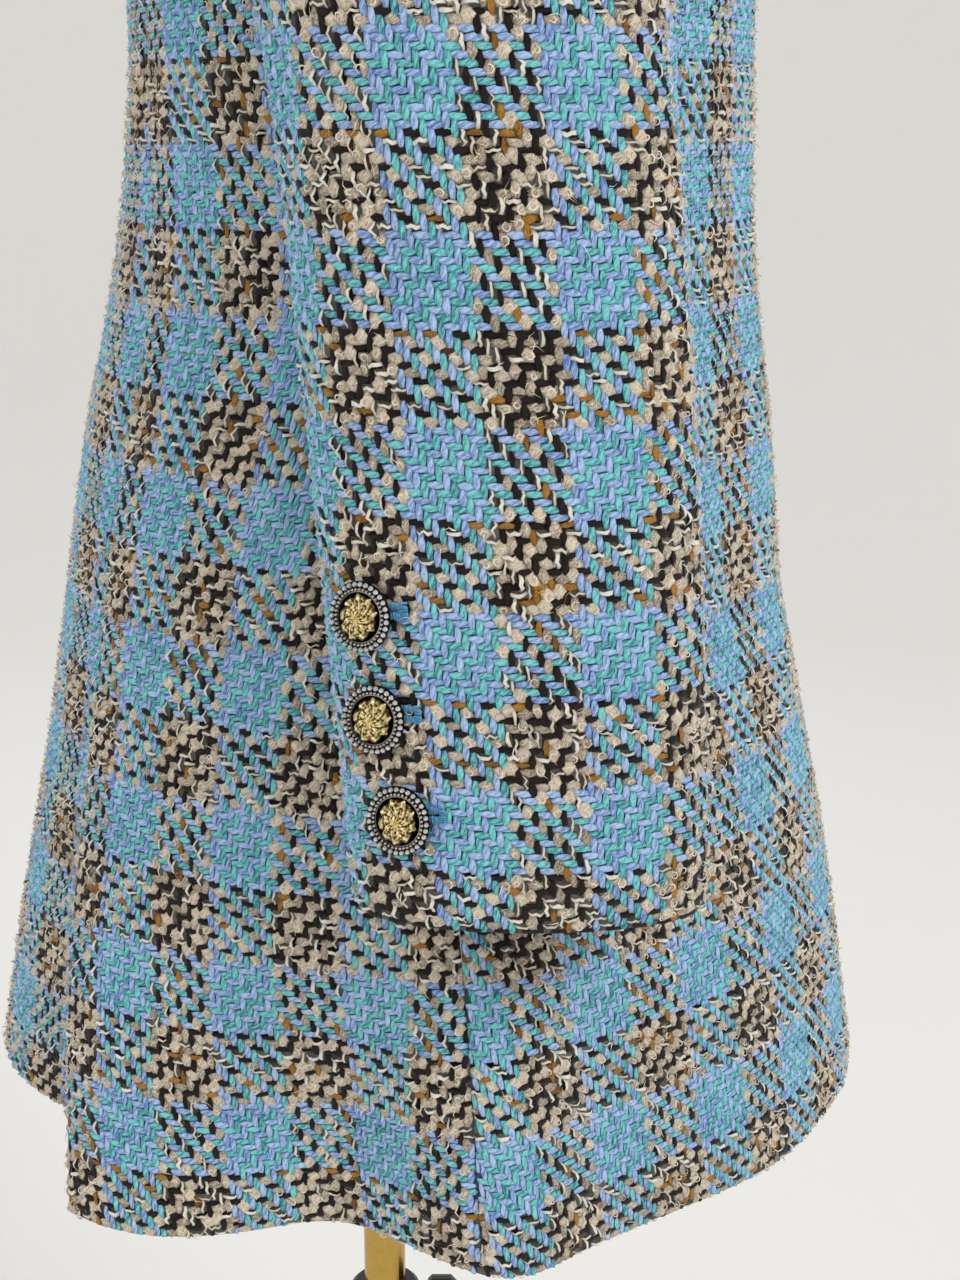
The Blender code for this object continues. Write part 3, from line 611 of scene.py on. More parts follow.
def wall_of(name, cloth, last_level):
    """The panel's closed wall. Its rows are level up to last_level, and share out the rest up to its top."""
    columns = len(cloth.tops)
    lower = cloth.climbs[cloth.climbs < last_level][::WALL_EVERY]
    wide = columns // WALL_EVERY + 1
    tops = np.interp(np.linspace(0, 1, wide), np.linspace(0, 1, columns), cloth.tops)
    count = max(int(round((tops.max() - last_level) / TABLE_STEP / WALL_EVERY)), 1)
    shares = np.linspace(0, 1, count + 1)[:, None]
    upper = last_level + shares * (tops - last_level)
    climb = np.concatenate([np.repeat(lower[:, None], wide, axis=1), upper])
    at_row = cloth.row_at(climb)
    away = np.linspace(0, 1, wide) * read(cloth.length, at_row)
    outer, inner = (cloth.spot(away, climb, np.full(away.shape, -sunk))[0] for sunk in (WALL_SUNK, WALL))
    reference = read(cloth.reference, at_row)
    ends = cloth.sense * (away - reference) / END + cloth.first_end
    threads = stacked(ends, climb / PICK + cloth.first_pick).reshape(-1, 2)
    high = len(away)
    index = np.arange(high * wide).reshape(high, wide)
    quads = cells(wide, high)
    loop = np.concatenate([index[0, :], index[1:, -1], index[-1, -2::-1], index[-2:0:-1, 0]])
    ahead = np.roll(loop, -1)
    rim = stacked(loop, ahead, ahead + high * wide, loop + high * wide)
    out = np.cross(outer[1, 0] - outer[0, 0], outer[0, 1] - outer[0, 0])
    if (out * cloth.normals[0, 0]).sum() > 0:
        quads = quads[:, ::-1]
    else:
        rim = rim[:, ::-1]
    points = np.concatenate([outer.reshape(-1, 3), inner.reshape(-1, 3)])
    mesh = mesh_of(name, points, [quads, quads[:, ::-1] + high * wide, rim])
    thread_map(mesh, np.concatenate([threads, threads]))
    keep(mesh, "inside", np.repeat([0.0, 1.0], high * wide))
    spread = np.linalg.norm(np.diff(outer, axis=1), axis=2)
    climbs = np.linalg.norm(np.diff(outer, axis=0), axis=2)
    area = float((spread[:-1] * (climbs[:, 1:] + climbs[:, :-1]) / 2).sum())
    return mesh, (float(spread.sum(axis=1).max()), float(climbs.sum(axis=0).max())), area


def pick_floats(cloth, rng):
    """Every float on a panel: the middle of it in ends and picks, whether it runs upright, its kind and two
    numbers drawn for it. Floats over two threads step one thread sideways from row to row."""
    span = cloth.sense * (cloth.length.max() + 0.01) / END
    left = -cloth.sense * cloth.reference.max() / END + cloth.first_end
    end_range = np.arange(int(min(left, left + span)) - 2, int(max(left, left + span)) + 2)
    pick_range = np.arange(int(cloth.first_pick) - 2, int(cloth.tops.max() / PICK + cloth.first_pick) + 2)
    i, j = (m.ravel() for m in np.meshgrid(end_range, pick_range))
    m = (j - i) % 4
    i, j, m = (values[(m == 0) | (m == 3)] for values in (i, j, m))
    upright = m == 0
    u, v = np.where(upright, i + 0.5, i + 1.0), np.where(upright, j + 1.0, j + 0.5)
    away, climb, length, top = cloth.place_of(u, v)
    on_it = (away > 0) & (away < length) & (climb > 0) & (climb < top)
    i, j, upright, u, v = (values[on_it] for values in (i, j, upright, u, v))
    thread = np.where(upright, i, j)
    repeat = np.where(upright, ENDS, PICKS)
    slub = thread % repeat < repeat // 2
    loopy = slub & (thread % 2 == 0)
    by_thread = rng.uniform(0, 1, THREAD_DRAWS)[thread % OWN_DRAWS + OWN_DRAWS * upright]
    draw = (1 - THREAD_SHARE) * rng.uniform(0, 1, len(i)) + THREAD_SHARE * by_thread
    thin = slub & ((loopy & (draw < CREAM_BELOW)) | (~loopy & (draw > THIN_ABOVE)))
    kind = np.select([thin, loopy & ~thin, slub], [THIN, FLUFFY, PILE], SMOOTH)
    return {"u": u, "v": v, "upright": upright, "kind": kind, "draw": draw, "size": rng.uniform(0, 1, len(i))}


def lay_floats(cloth, floats, side, run, rng):
    """Shape some floats, each as a grid of points across it and along it. The cloth bulges where a float
    passes over and dips where it goes under: (1 - 1.1 (2 across)^2) (1 - 1.15 along^2) - 0.15 along^2. A thin
    one wavers from side to side."""
    across, along = (m.ravel()[None, :] for m in np.meshgrid(side, run))
    count, points_each = len(floats["u"]), across.shape[1]
    size, thin = floats["size"][:, None], floats["kind"][:, None] == THIN
    fat, by_size, by_square, long, by_chance, tall, taller, taper, waver, stray = (
        column[:, None] for column in YARN_SHAPES[floats["kind"]].T
    )
    fat = fat + by_size * size + by_square * size**2
    long = long + by_chance * rng.uniform(0, 1, count)[:, None]
    tall = tall + taller * size
    waver = waver * rng.normal(0, 1, (count, len(run)))
    waver = np.where(thin, waver + 0.08 * np.cos(np.arange(len(run)) * math.pi), waver)
    sideways = across * fat * np.where(along == 0, 1.0, taper) + np.repeat(waver, len(side), axis=1)
    lengthways = along * long
    stray = stray[..., None] * rng.normal(0, 1, (count, 2, points_each))
    upright, u, v = (floats[key][:, None] for key in ("upright", "u", "v"))
    bulge = (1 - 1.1 * (2 * across) ** 2 * (len(side) > 2)) * (1 - 1.15 * along**2) - 0.15 * along**2
    rise = YARN_HIGH * (bulge * tall - 0.06 + rng.normal(0, 0.05, (count, points_each))) - YARN_SUNK
    points, n = cloth.on_cloth(
        u + np.where(upright, sideways, lengthways) + stray[:, 0],
        v + np.where(upright, lengthways, sideways) + stray[:, 1], rise,
    )
    wide = len(side)
    out = np.cross(points[:, wide - 1] - points[:, 0], points[:, -wide] - points[:, 0])
    inward = (out * n[:, points_each // 2]).sum(axis=-1) < 0
    faces = repeated(cells(wide, len(run)), points_each, inward)
    in_u, in_v = np.where(upright, across, along), np.where(upright, along, across)
    threads = stacked(u + in_u * SHRUNK, v + in_v * SHRUNK)
    own = stacked(floats["draw"], floats["size"])
    return points.reshape(-1, 3), [faces], threads.reshape(-1, 2), np.repeat(own, points_each, axis=0)


def strands(floats, chosen, points, faces, size):
    """Loose strands in the form of lay_floats' yarns. Each takes the colour of the float it grows from, and
    its tone from size."""
    each = points.shape[1]
    threads = stacked(floats["u"], floats["v"])[chosen]
    own = stacked(floats["draw"], size)[chosen]
    return points.reshape(-1, 3), faces, np.repeat(threads, each, axis=0), np.repeat(own, each, axis=0)


def lay_fuzz(cloth, floats, rng):
    """Loose fibres: short bent hairs that stand off the yarns, most of them on the fluffy ones."""
    weight = FUZZ_SHARES[floats["kind"]]
    count = int(HAIRS_PER_FLOAT * len(weight))
    chosen = rng.choice(len(weight), count, p=weight / weight.sum())
    u, v = (floats[key][chosen] + rng.uniform(-0.5, 0.5, count) for key in ("u", "v"))
    rise = YARN_HIGH * (0.45 + 0.55 * floats["size"][chosen]) * rng.uniform(0.7, 1.1, count)
    root, n = cloth.on_cloth(u, v, rise)
    way = unit(np.cross(n, rng.normal(0, 1, (count, 3))))
    turned = np.cross(n, way)
    reach = rng.uniform(0.0018, 0.0042, count)[:, None]
    bent = way + turned * rng.normal(0, 0.8, count)[:, None]
    middle = root + reach * (0.5 * way + rng.uniform(0.20, 0.50, count)[:, None] * n)
    tip = middle + reach * (0.6 * bent + rng.uniform(-0.2, 0.35, count)[:, None] * n)
    half = turned * HAIR_WIDE / 2
    points = np.stack([root - half, root + half, middle + half * 0.8, middle - half * 0.8, tip], axis=1)
    base = (np.arange(count) * 5)[:, None]
    faces = [base + np.array([0, 1, 2, 3]), base + np.array([3, 2, 4])]
    return strands(floats, chosen, points, faces, floats["size"] + 1.2)


def lay_curls(cloth, floats, rng):
    """Bouclé loops: flat strands that wind inwards on top of the fluffy yarns."""
    weight = CURL_SHARES[floats["kind"]]
    count = int(CURLS_PER_FLOAT * len(weight))
    chosen = rng.choice(len(weight), count, replace=False, p=weight / weight.sum())
    t = np.linspace(0, 1, CURL_POINTS)[None, :, None]
    wide = np.array([-0.5, 0.5])[None, None, :] * CURL_WIDE
    turned, sweep, first = (
        rng.uniform(least, most, count)[:, None, None]
        for least, most in ((0, 2 * math.pi), (3.4, 5.4), (0.0010, 0.0019))
    )
    angle = turned + sweep * rng.choice([-1, 1], count)[:, None, None] * t
    out = first * (1 - 0.5 * t) + wide * (1.1 - 0.6 * np.abs(2 * t - 1))
    u, v = (
        (floats[key][chosen][:, None, None] + out * wave(angle) / apart).reshape(count, -1)
        for key, wave, apart in (("u", np.cos, END), ("v", np.sin, PICK))
    )
    lift = np.repeat((0.75 + 0.45 * np.sin(math.pi * t[0, :, 0]))[None], count, axis=0)
    rise = YARN_HIGH * (0.75 + 0.75 * floats["size"][chosen][:, None]) * np.repeat(lift, 2, axis=1)
    points, n = cloth.on_cloth(u, v, rise)
    out = np.cross(points[:, 1] - points[:, 0], points[:, 2] - points[:, 0])
    faces = repeated(cells(2, CURL_POINTS), 2 * CURL_POINTS, (out * n[:, CURL_POINTS]).sum(axis=-1) < 0)
    return strands(floats, chosen, points, [faces], 0.7 + 1.6 * floats["size"])


def yarns_of(name, cloth, seed):
    """The yarns on a panel's face as one mesh, with each yarn's own numbers kept on its points."""
    rng = np.random.default_rng(seed)
    floats = pick_floats(cloth, rng)
    laid = []
    for thin, side, run in (
        (False, (-0.5, 0.0, 0.5), (-1.0, 0.0, 1.0)), (True, (-0.5, 0.5), (-1.0, -0.5, 0.0, 0.5, 1.0)),
    ):
        some = {key: values[(floats["kind"] == THIN) == thin] for key, values in floats.items()}
        laid.append(lay_floats(cloth, some, np.array(side), np.array(run), rng))
    laid.append(lay_curls(cloth, floats, rng))
    laid.append(lay_fuzz(cloth, floats, rng))
    points, faces, threads, own = zip(*laid)
    bases = np.cumsum([0] + [len(p) for p in points])
    mesh = mesh_of(name, np.concatenate(points), [f + base for some, base in zip(faces, bases) for f in some])
    thread_map(mesh, np.concatenate(threads))
    draw, size = np.concatenate(own).T
    keep(mesh, "draw", draw)
    keep(mesh, "size", size)
    return mesh


def panel(name, cloth, sense, first_end, first_pick, last_level, seed):
    """A cloth panel: its wall and the yarns on it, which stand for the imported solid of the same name."""
    cloth.sense, cloth.first_end, cloth.first_pick = sense, first_end, first_pick
    mesh, cut, area = wall_of(name + "_wall", cloth, last_level)
    wall = shown(name + "_cloth", mesh, CLOTH)
    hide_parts(name)
    yarns = shown(name + "_yarns", yarns_of(name, cloth, seed), YARNS)


def neckline(depth):
    """A rule for the top of each column: the shoulder seam, or the rounded neckline inside it."""
    def rule(points, climbs):
        x = np.abs(points[..., 0])
        edge = TOP - depth * np.sqrt(np.clip(1 - (x / NECK_X) ** 2, 0, None))
        over = np.where(x < NECK_X, height(climbs)[:, None] - edge, -1.0)
        over[climbs < CHEST] = -1.0
        first = np.argmax(over > 0, axis=0)
        columns = np.arange(points.shape[1])
        low, high = over[first - 1, columns], over[first, columns]
        part = np.clip(-low / np.maximum(high - low, 1e-9), 0, 1)
        crossing = climbs[first - 1] + part * (climbs[1] - climbs[0])
        return np.where(first > 0, np.minimum(crossing, NEAR_TOP), NEAR_TOP)
    return rule


# The body's five panels: two fronts, of which the right one laps over the left, two side panels whose back
# edges hang free as the flaps of the vents, and the back, whose underlaps are tucked in behind them.
FIRST_PICK = 1.87  # the hem lies in a dark stripe
FRONT_FIRST_END = {1: 4.2, -1: 7.2 + 2 * LAP_X / END}
SIDE_FIRST_END = {1: 8.9, -1: -3.1}
BACK_FIRST_END = 16.5
SIDE_PANEL_TOP = SEAM_TOP - 0.002
LAP_FROM, LAP_TO = 30.0, 15.0  # degrees from the centre front over which the lap rises
FLAP_KICK = 0.0185
FLAP_WIDTH = 30.0
TUCK = 0.045
TUCK_FROM = 174.0
JOG = 0.004
UNDERLAP_INSET = 0.0029
INSET_FROM, INSET_OVER = 6.0, 5.0  # degrees inside the seam
INSET_ABOVE, INSET_FADE = 0.022, 0.014  # levels over the vent's top
SEAM_RADIUS = 0.19  # the coat's, near the side-back seam


def open_share(level, power):
    """1 at the hem and 0 at the top of a vent."""
    return np.clip(1 - level / VENT_TOP, 0, 1) ** power


def front(side):
    raised_by = LAP if side > 0 else 0.0
    cloth = lay_out(
        lifted(lambda turn, level: raised_by * step((LAP_FROM - side * turn) / (LAP_FROM - LAP_TO))),
        lambda level: -side * at_x(LAP_X, level), lambda level: side * side_seam(level),
        NEAR_TOP, neckline(FRONT_NECK),
    )
    name = "front_right" if side > 0 else "front_left"
    panel(name, cloth, side, FRONT_FIRST_END[side], FIRST_PICK, CHEST, 11 + side)


def side_panel(side):
    def kick(turn, level):
        edge = smooth(BACK_SEAM, 1, level)
        return FLAP_KICK * open_share(level, 2.0) * step((side * turn - edge + FLAP_WIDTH) / FLAP_WIDTH)

    cloth = lay_out(
        lifted(kick), lambda level: side * back_seam(level), lambda level: side * side_top(level),
        SIDE_PANEL_TOP,
    )
    name = "side_panel_right" if side > 0 else "side_panel_left"
    panel(
        name, cloth, -side, SIDE_FIRST_END[side], FIRST_PICK, SEAM_TOP - 0.01, 21 + side,
    )


def tuck(turn, level):
    """How far the back is drawn in at its vents: the underlaps by a cloth, and the skirt towards its hem."""
    away = 180 - np.abs(180 - turn % 360)
    edge = smooth(BACK_SEAM, 1, level)
    inset = UNDERLAP_INSET * step((edge + INSET_FROM - away) / INSET_OVER)
    inset = inset * step((VENT_TOP + INSET_ABOVE - level) / INSET_FADE)
    fall = TUCK * open_share(level, 2.2) * step((TUCK_FROM - away) / (TUCK_FROM - BACK_SEAM[0, 1]))
    return -inset - fall


def back_edge(level):
    """The back's edge: the seam, and below the vent's top the underlap beyond it."""
    under = np.clip((VENT_TOP + JOG - level) / JOG, 0, 1)
    return back_seam(level) - under * math.degrees(UNDERLAP / SEAM_RADIUS)


for side in (1, -1):
    front(side)
for side in (1, -1):
    side_panel(side)
back = lay_out(
    lifted(tuck), back_edge, lambda level: 360 - back_edge(level), NEAR_TOP, neckline(BACK_NECK),
    reference=0.5,
)
panel("back", back, 1, BACK_FIRST_END, FIRST_PICK, CHEST, 31)


# The sleeves. Each is a two-piece tailored sleeve that hangs forward from the armhole and tapers to a plain
# cuff. Its checks run down a middle line of their own, so they miss the body's by a little.
SLEEVE = np.array([
    # height, middle x, middle y, half thickness, half width
    (0.161, 0.2275, -0.0670, 0.0260, 0.0625),
    (0.200, 0.2265, -0.0650, 0.0270, 0.0635),
    (0.280, 0.2220, -0.0600, 0.0315, 0.0650),
    (0.360, 0.2180, -0.0540, 0.0360, 0.0655),
    (0.440, 0.2155, -0.0470, 0.0385, 0.0660),
    (0.530, 0.2135, -0.0370, 0.0410, 0.0700),
])
BICEP = 0.530
CUFF = 0.161
TUBE_HIGH = BICEP - CUFF
SLEEVE_FRONT_SEAM = 125.0
SLEEVE_BACK_SEAM = -100.0
SEAM_STAND = 0.0015
SLEEVE_SEAM_GAP = 0.3  # degrees
HEAD_FINE = 60
SLEEVE_FIRST_PICK = 3.24
SLEEVE_FIRST_END = 8.64
SLEEVE_PIECES = (
    # name, angle of one edge, angle of the other, angle of its line of checks
    ("upper", SLEEVE_BACK_SEAM + SLEEVE_SEAM_GAP, SLEEVE_FRONT_SEAM - SLEEVE_SEAM_GAP, 0.0),
    ("under", SLEEVE_FRONT_SEAM + SLEEVE_SEAM_GAP, 360 + SLEEVE_BACK_SEAM - SLEEVE_SEAM_GAP, 190.0),
)
SLEEVE_CREASES = np.array([
    # angle, height in the middle, half length, lean in degrees per metre, width in degrees, depth
    (38.0, 0.405, 0.085, 120.0, 9.0, -0.0020),
    (-28.0, 0.375, 0.070, -150.0, 8.0, -0.0016),
    (74.0, 0.470, 0.060, -210.0, 9.0, -0.0022),
    (-66.0, 0.455, 0.065, 190.0, 9.0, -0.0022),
    (12.0, 0.255, 0.060, 90.0, 10.0, 0.0012),
    (118.0, 0.350, 0.080, 160.0, 9.0, -0.0020),
    (165.0, 0.420, 0.070, -140.0, 12.0, -0.0020),
    (215.0, 0.300, 0.070, 120.0, 12.0, -0.0018),
])


# The armhole's line, from the shoulder point down the front and up the back.
down = np.linspace(TOP, UNDERARM, 90)
unlapped = lifted(lambda turn, level: 0.0)
ARMHOLE_LINE = np.concatenate([unlapped(side_seam(down), down), unlapped(side_top(down), down)[::-1][1:]])
ARMHOLE_GONE = gone_along(ARMHOLE_LINE, 0)


def on_armhole(angle):
    at = (angle % 360) / 360 * ARMHOLE_GONE[-1]
    return stacked(*(np.interp(at, ARMHOLE_GONE, line) for line in ARMHOLE_LINE.T))


def tube(angle, h):
    """The sleeve below its head: ellipses across a line that hangs forward. 0 is outside and 90 in front."""
    x, y, thick, wide = (smooth(SLEEVE, c, h) for c in (1, 2, 3, 4))
    out = np.zeros(np.broadcast(angle, h).shape)
    for middle, at, reach, lean, width, depth in SLEEVE_CREASES:
        away = (angle - middle - lean * (h - at) + 180) % 360 - 180
        out = out + depth * np.exp(-((away / width) ** 2) - ((h - at) / reach) ** 4)
    a = np.radians(angle)
    return stacked(-x - (thick + out) * np.cos(a), y - (wide + out) * np.sin(a), HEM + h)


def head(angle, share):
    """The sleeve's head, from the armhole at 0 to the tube at 1: cubic threads that leave outwards."""
    angle, share = np.broadcast_arrays(angle, share)
    low = (1 - np.cos(np.radians(angle))) / 2
    first = on_armhole(angle) - np.array([SEAM_STAND, 0, 0])
    last = tube(angle, BICEP)
    forward = np.sin(np.radians(angle))
    out = stacked(-1 + 0.8 * low**4, -0.25 * forward, -0.25 - 0.75 * low**2)
    leave = out * (0.115 - 0.085 * low)[..., None]
    arrive = (tube(angle, BICEP - 0.01) - last) / 0.01 * (0.16 - 0.12 * low)[..., None]
    f = share[..., None]
    return (
        (2 * f**3 - 3 * f**2 + 1) * first + (f**3 - 2 * f**2 + f) * leave
        + (3 * f**2 - 2 * f**3) * last + (f**3 - f**2) * arrive
    )


def sleeve_piece(start, end, middle, mirror):
    """A sleeve piece: rows climb from the cuff, up the tube and then along each thread of the head."""
    angles = np.linspace(start, end, LAYOUT_FINE)
    shares = np.linspace(1, 0, HEAD_FINE)
    gone = gone_along(head(angles[None, :], shares[:, None]), 0)
    top = TUBE_HIGH + gone[-1].max()
    climbs = np.linspace(0, top, int(top / TABLE_STEP) + 1)
    low = tube(angles[None, :], CUFF + np.minimum(climbs, TUBE_HIGH)[:, None])
    share = np.array([np.interp(climbs - TUBE_HIGH, along, shares) for along in gone.T]).T
    line = np.where((climbs > TUBE_HIGH)[:, None, None], head(angles[None, :], share), low)
    span = gone_along(line, 1)
    length = span[:, -1]
    spaced = np.linspace(0, 1, int(round(length.max() / TABLE_STEP)) + 1)
    points = np.array([
        stacked(*(np.interp(spaced * g[-1], g, values) for values in row.T)) for g, row in zip(span, line)
    ])
    at_mid = int(TUBE_HIGH / 2 / climbs[1])
    angle_at = np.interp(spaced * span[at_mid, -1], span[at_mid], angles)
    tops = np.interp(angle_at, angles, TUBE_HIGH + gone[-1])
    reference = np.array([np.interp(middle, angles, g) for g in span])
    return Panel(points * mirror, climbs, length, tops, reference, SLEEVE_CORE * mirror)


for side, wearer in ((1, "right"), (-1, "left")):
    for number, (piece, start, end, middle) in enumerate(SLEEVE_PIECES):
        panel(
            f"sleeve_{piece}_{wearer}", sleeve_piece(start, end, middle, np.array([side, 1, 1])),
            -side, SLEEVE_FIRST_END, SLEEVE_FIRST_PICK, TUBE_HIGH, 41 + side + 5 * number,
        )


# The buttons: an oval gunmetal dish with a ring of small clear stones and a ring of beads around a slotted
# black oval, and a raised rosette of leaves in antique gold. Three sit on each cuff and three on the front,
# and each covers all but the end of a buttonhole worked in bright blue thread.
BUTTON_WIDTH = 0.0232
BUTTON_HEIGHT = 0.0256
CUFF_BUTTONS = ((0.2716, -0.0108, 28), (0.2364, -0.0146, 32), (0.2014, -0.0224, 12))  # height, y, lean
CUFF_HOLE = (0.006, 0.0150, 0.0028)  # near end, far end and shift upwards of a buttonhole
FRONT_BUTTONS = (0.649, 0.575, 0.500)  # levels
FRONT_BUTTON_SCALE = 1.14
FRONT_HOLE = (0.010, 0.0230, 0.0)
AROUND = 72
DISH = np.array([
    # share of the radius, height over the cloth
    (0.30, 0.0001), (0.36, 0.0013), (0.90, 0.0015), (0.98, 0.0022), (0.985, 0.0029), (0.96, 0.0031),
    (0.93, 0.0030), (0.83, 0.0030), (0.725, 0.0031), (0.70, 0.0035), (0.68, 0.0031), (0.60, 0.0029),
    (0.40, 0.0029),
])
DISH_BLACK_FROM = 9  # its ring of faces where the black oval begins
DISH_SLOT_DEEP = 0.00035
RIM_HIGH = 0.0034  # higher parts of the dish are worn bright
METAL_PART, BLACK_PART, GOLD_PART, STONE_PART = range(4)
# a ring's share of the radius, height, number of studs, and each one's radius, height and flat share
STONES = (0.900, 0.0031, 31, 0.00094, 0.00105, 0.55)
BEADS = (0.765, 0.0031, 40, 0.00062, 0.00100, 0.45)
STUD_SIDES = 6
ROSETTE_AROUND = 96
ROSETTE_INWARD = 18


def object_place(tree):
    return worked_out("TexCoord", {}, "Object", tree)


def metal(name, dull, bright, rough, fine):
    """Cast metal: a dull colour in its hollows and a bright one on its heights, with a fine grain."""
    made, tree, dress = new_finish(name)
    grain = speckle(object_place(tree), fine, 3.0)
    worn = above(kept_value(tree, "lift") + grain * 0.5, 0.62, 0.34)
    dress({
        "Base Color": blend(worn, dull, bright), "Metallic": 1.0,
        "Roughness": blend(grain, rough - 0.10, rough + 0.14), "Normal": raised(grain, 0.35, 0.0001),
    })
    return made


def clear_stone():
    made, tree, dress = new_finish("clear_stone")
    tint = blend(speckle(object_place(tree), 420.0, 1.0), paint(150, 146, 140), paint(250, 250, 255))
    dress({"Base Color": tint, "Roughness": 0.06, "Metallic": 0.45, "Specular IOR Level": 0.9})
    return made


def rings_around(rings):
    """Quads between rings of points that each run anticlockwise, seen from the last one, and end faces."""
    high, wide = rings.shape[:2]
    index = np.arange(high * wide).reshape(high, wide)
    after = np.roll(index, -1, axis=1)
    quads = stacked(index[:-1], after[:-1], after[1:], index[1:]).reshape(-1, 4)
    return [quads, index[0, ::-1][None], index[-1][None]]


def ring(count):
    """Angles equally far apart, once round."""
    return np.linspace(0, 2 * math.pi, count + 1)[:-1]


def oval(share, z, count):
    """A ring of points of a button: share of its half sizes, at a height."""
    a = ring(count)
    return stacked(share * BUTTON_WIDTH / 2 * np.cos(a), share * BUTTON_HEIGHT / 2 * np.sin(a), z)


def studs(share, z, count, radius, high, flat_top):
    """A ring of small cut domes: each has a base, a girdle and a smaller flat top."""
    a = ring(STUD_SIDES)
    shape = np.stack([
        stacked(r * radius * np.cos(a), r * radius * np.sin(a), h * high)
        for r, h in ((0.9, -0.3), (1.0, 0.25), (flat_top, 1.0))
    ])
    points = oval(share, z, count)[:, None, None] + shape[None]
    turned_over = np.zeros(count, bool)
    return points.reshape(-1, 3), [repeated(f, 3 * STUD_SIDES, turned_over) for f in rings_around(shape)]


def rosette():
    """The gold relief: r runs from the rim to the centre. Leaves stand in three rows, each turned half a leaf
    from the next, with a rib down each leaf and a bead in the middle. A leaf's height is |cos(4.5 a)|^0.7."""
    a = ring(ROSETTE_AROUND)[None, :]
    r = np.linspace(1.0, 0.02, ROSETTE_INWARD)[:, None]
    row = np.floor(r * 3)
    in_row = r * 3 - row
    leaf = np.abs(np.cos(4.5 * a + row * math.pi / 2))
    rib = np.exp(-((np.cos(4.5 * a + row * math.pi / 2 + math.pi / 2) / 0.22) ** 2))
    rough = np.sin(11 * a + 9 * r) * np.sin(27 * r - 5 * a) + 0.6 * np.sin(23 * a - 17 * r)
    leaf = leaf**0.7 * np.sin(math.pi * np.clip(in_row * 0.8 + 0.1, 0, 1)) ** 0.6
    lift = (0.55 * leaf + 0.22 * rib + 0.32 * rough) * (1 - r**8) + 0.5 * np.exp(-((r / 0.16) ** 2))
    edge = 1 + 0.05 * np.cos(9 * a) + 0.03 * np.cos(17 * a + 1)
    x = 0.60 * r * edge * BUTTON_WIDTH / 2 * np.cos(a)
    y = 0.67 * r * edge * BUTTON_HEIGHT / 2 * np.sin(a)
    z = 0.0030 + 0.0020 * np.sqrt(1 - (r * 0.98) ** 2) + 0.0013 * lift
    z[0] = 0.0029
    return stacked(x, y, z), np.clip(lift, 0, 1)


def button_parts():
    """A button in parts: each has its points, the lift of each, and its faces with their finish."""
    dish = np.stack([oval(share, z, AROUND) for share, z in DISH])
    dish[-1, :, 2] += DISH_SLOT_DEEP * np.sign(np.cos(np.arange(AROUND) * math.pi / 2 + 0.8))
    quads, low_end, high_end = rings_around(dish)
    black_from = DISH_BLACK_FROM * AROUND
    worn = np.repeat(np.where(DISH[:, 1] > RIM_HIGH, 0.8, 0.0), AROUND)
    relief, lift = rosette()
    parts = [
        (dish, worn, [
            (quads[:black_from], METAL_PART), (low_end, METAL_PART), (quads[black_from:], BLACK_PART),
            (high_end, BLACK_PART),
        ]),
        (relief, lift.ravel(), [(f, GOLD_PART) for f in rings_around(relief)]),
    ]
    for set_in, finish in ((STONES, STONE_PART), (BEADS, METAL_PART)):
        points, faces = studs(*set_in)
        parts.append((points, np.ones(len(points)), [(f, finish) for f in faces]))
    return parts


BUTTON_PARTS = button_parts()
BUTTON_FINISHES = (
    metal("gunmetal", paint(26, 24, 23), paint(188, 180, 168), 0.30, 900.0),
    metal("black_enamel", paint(8, 8, 10), paint(70, 72, 80), 0.30, 700.0),
    metal("antique_gold", paint(66, 44, 16), paint(252, 232, 172), 0.24, 1300.0),
    clear_stone(),
)


def button(name, place, out, lean, scale):
    """A button at a place on the cloth, facing out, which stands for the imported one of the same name."""
    across = unit(np.cross((0, 0, 1), out))
    upward = np.cross(out, across)
    c, s = math.cos(lean), math.sin(lean)
    axes = np.stack([across * c + upward * s, upward * c - across * s, out])
    points, lifts, faces, kinds = [], [], [], []
    for some, lift, dressed in BUTTON_PARTS:
        base = sum(len(p) for p in points)
        points.append(some.reshape(-1, 3))
        lifts.append(lift)
        for f, kind in dressed:
            faces.append(f + base)
            kinds.extend([kind] * len(f))
    points = place + GAP * out + np.concatenate(points) * scale @ axes
    mesh = mesh_of(name + "_detail", points, faces, smooth_it=False)
    keep(mesh, "lift", np.concatenate(lifts))
    made = shown(name + "_detail", mesh, BUTTON_FINISHES[METAL_PART])
    for more in BUTTON_FINISHES[1:]:
        mesh.materials.append(more)
    kinds = np.array(kinds, np.int32)
    mesh.polygons.foreach_set("material_index", kinds)
    mesh.polygons.foreach_set("use_smooth", kinds != STONE_PART)
    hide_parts(name)


BLUE_THREAD, thread_tree, dress_thread = new_finish("blue_thread")
thread_tone = speckle(object_place(thread_tree), 1500.0)
dress_thread({
    "Base Color": blend(thread_tone, paint(10, 74, 132), paint(120, 208, 248)), "Roughness": 0.55,
})
STITCH_STEP = 0.00080
STITCH_LONG = 0.0022
STITCH_HIGH = 0.0019
STITCH_STRAY = 0.00016
STITCH_POINTS = ([0, 0.2, 0.8, 1.0], [-0.5, 0, 0.5])  # along a stitch and across it
SLIT = 0.0007
TINY = 0.0005


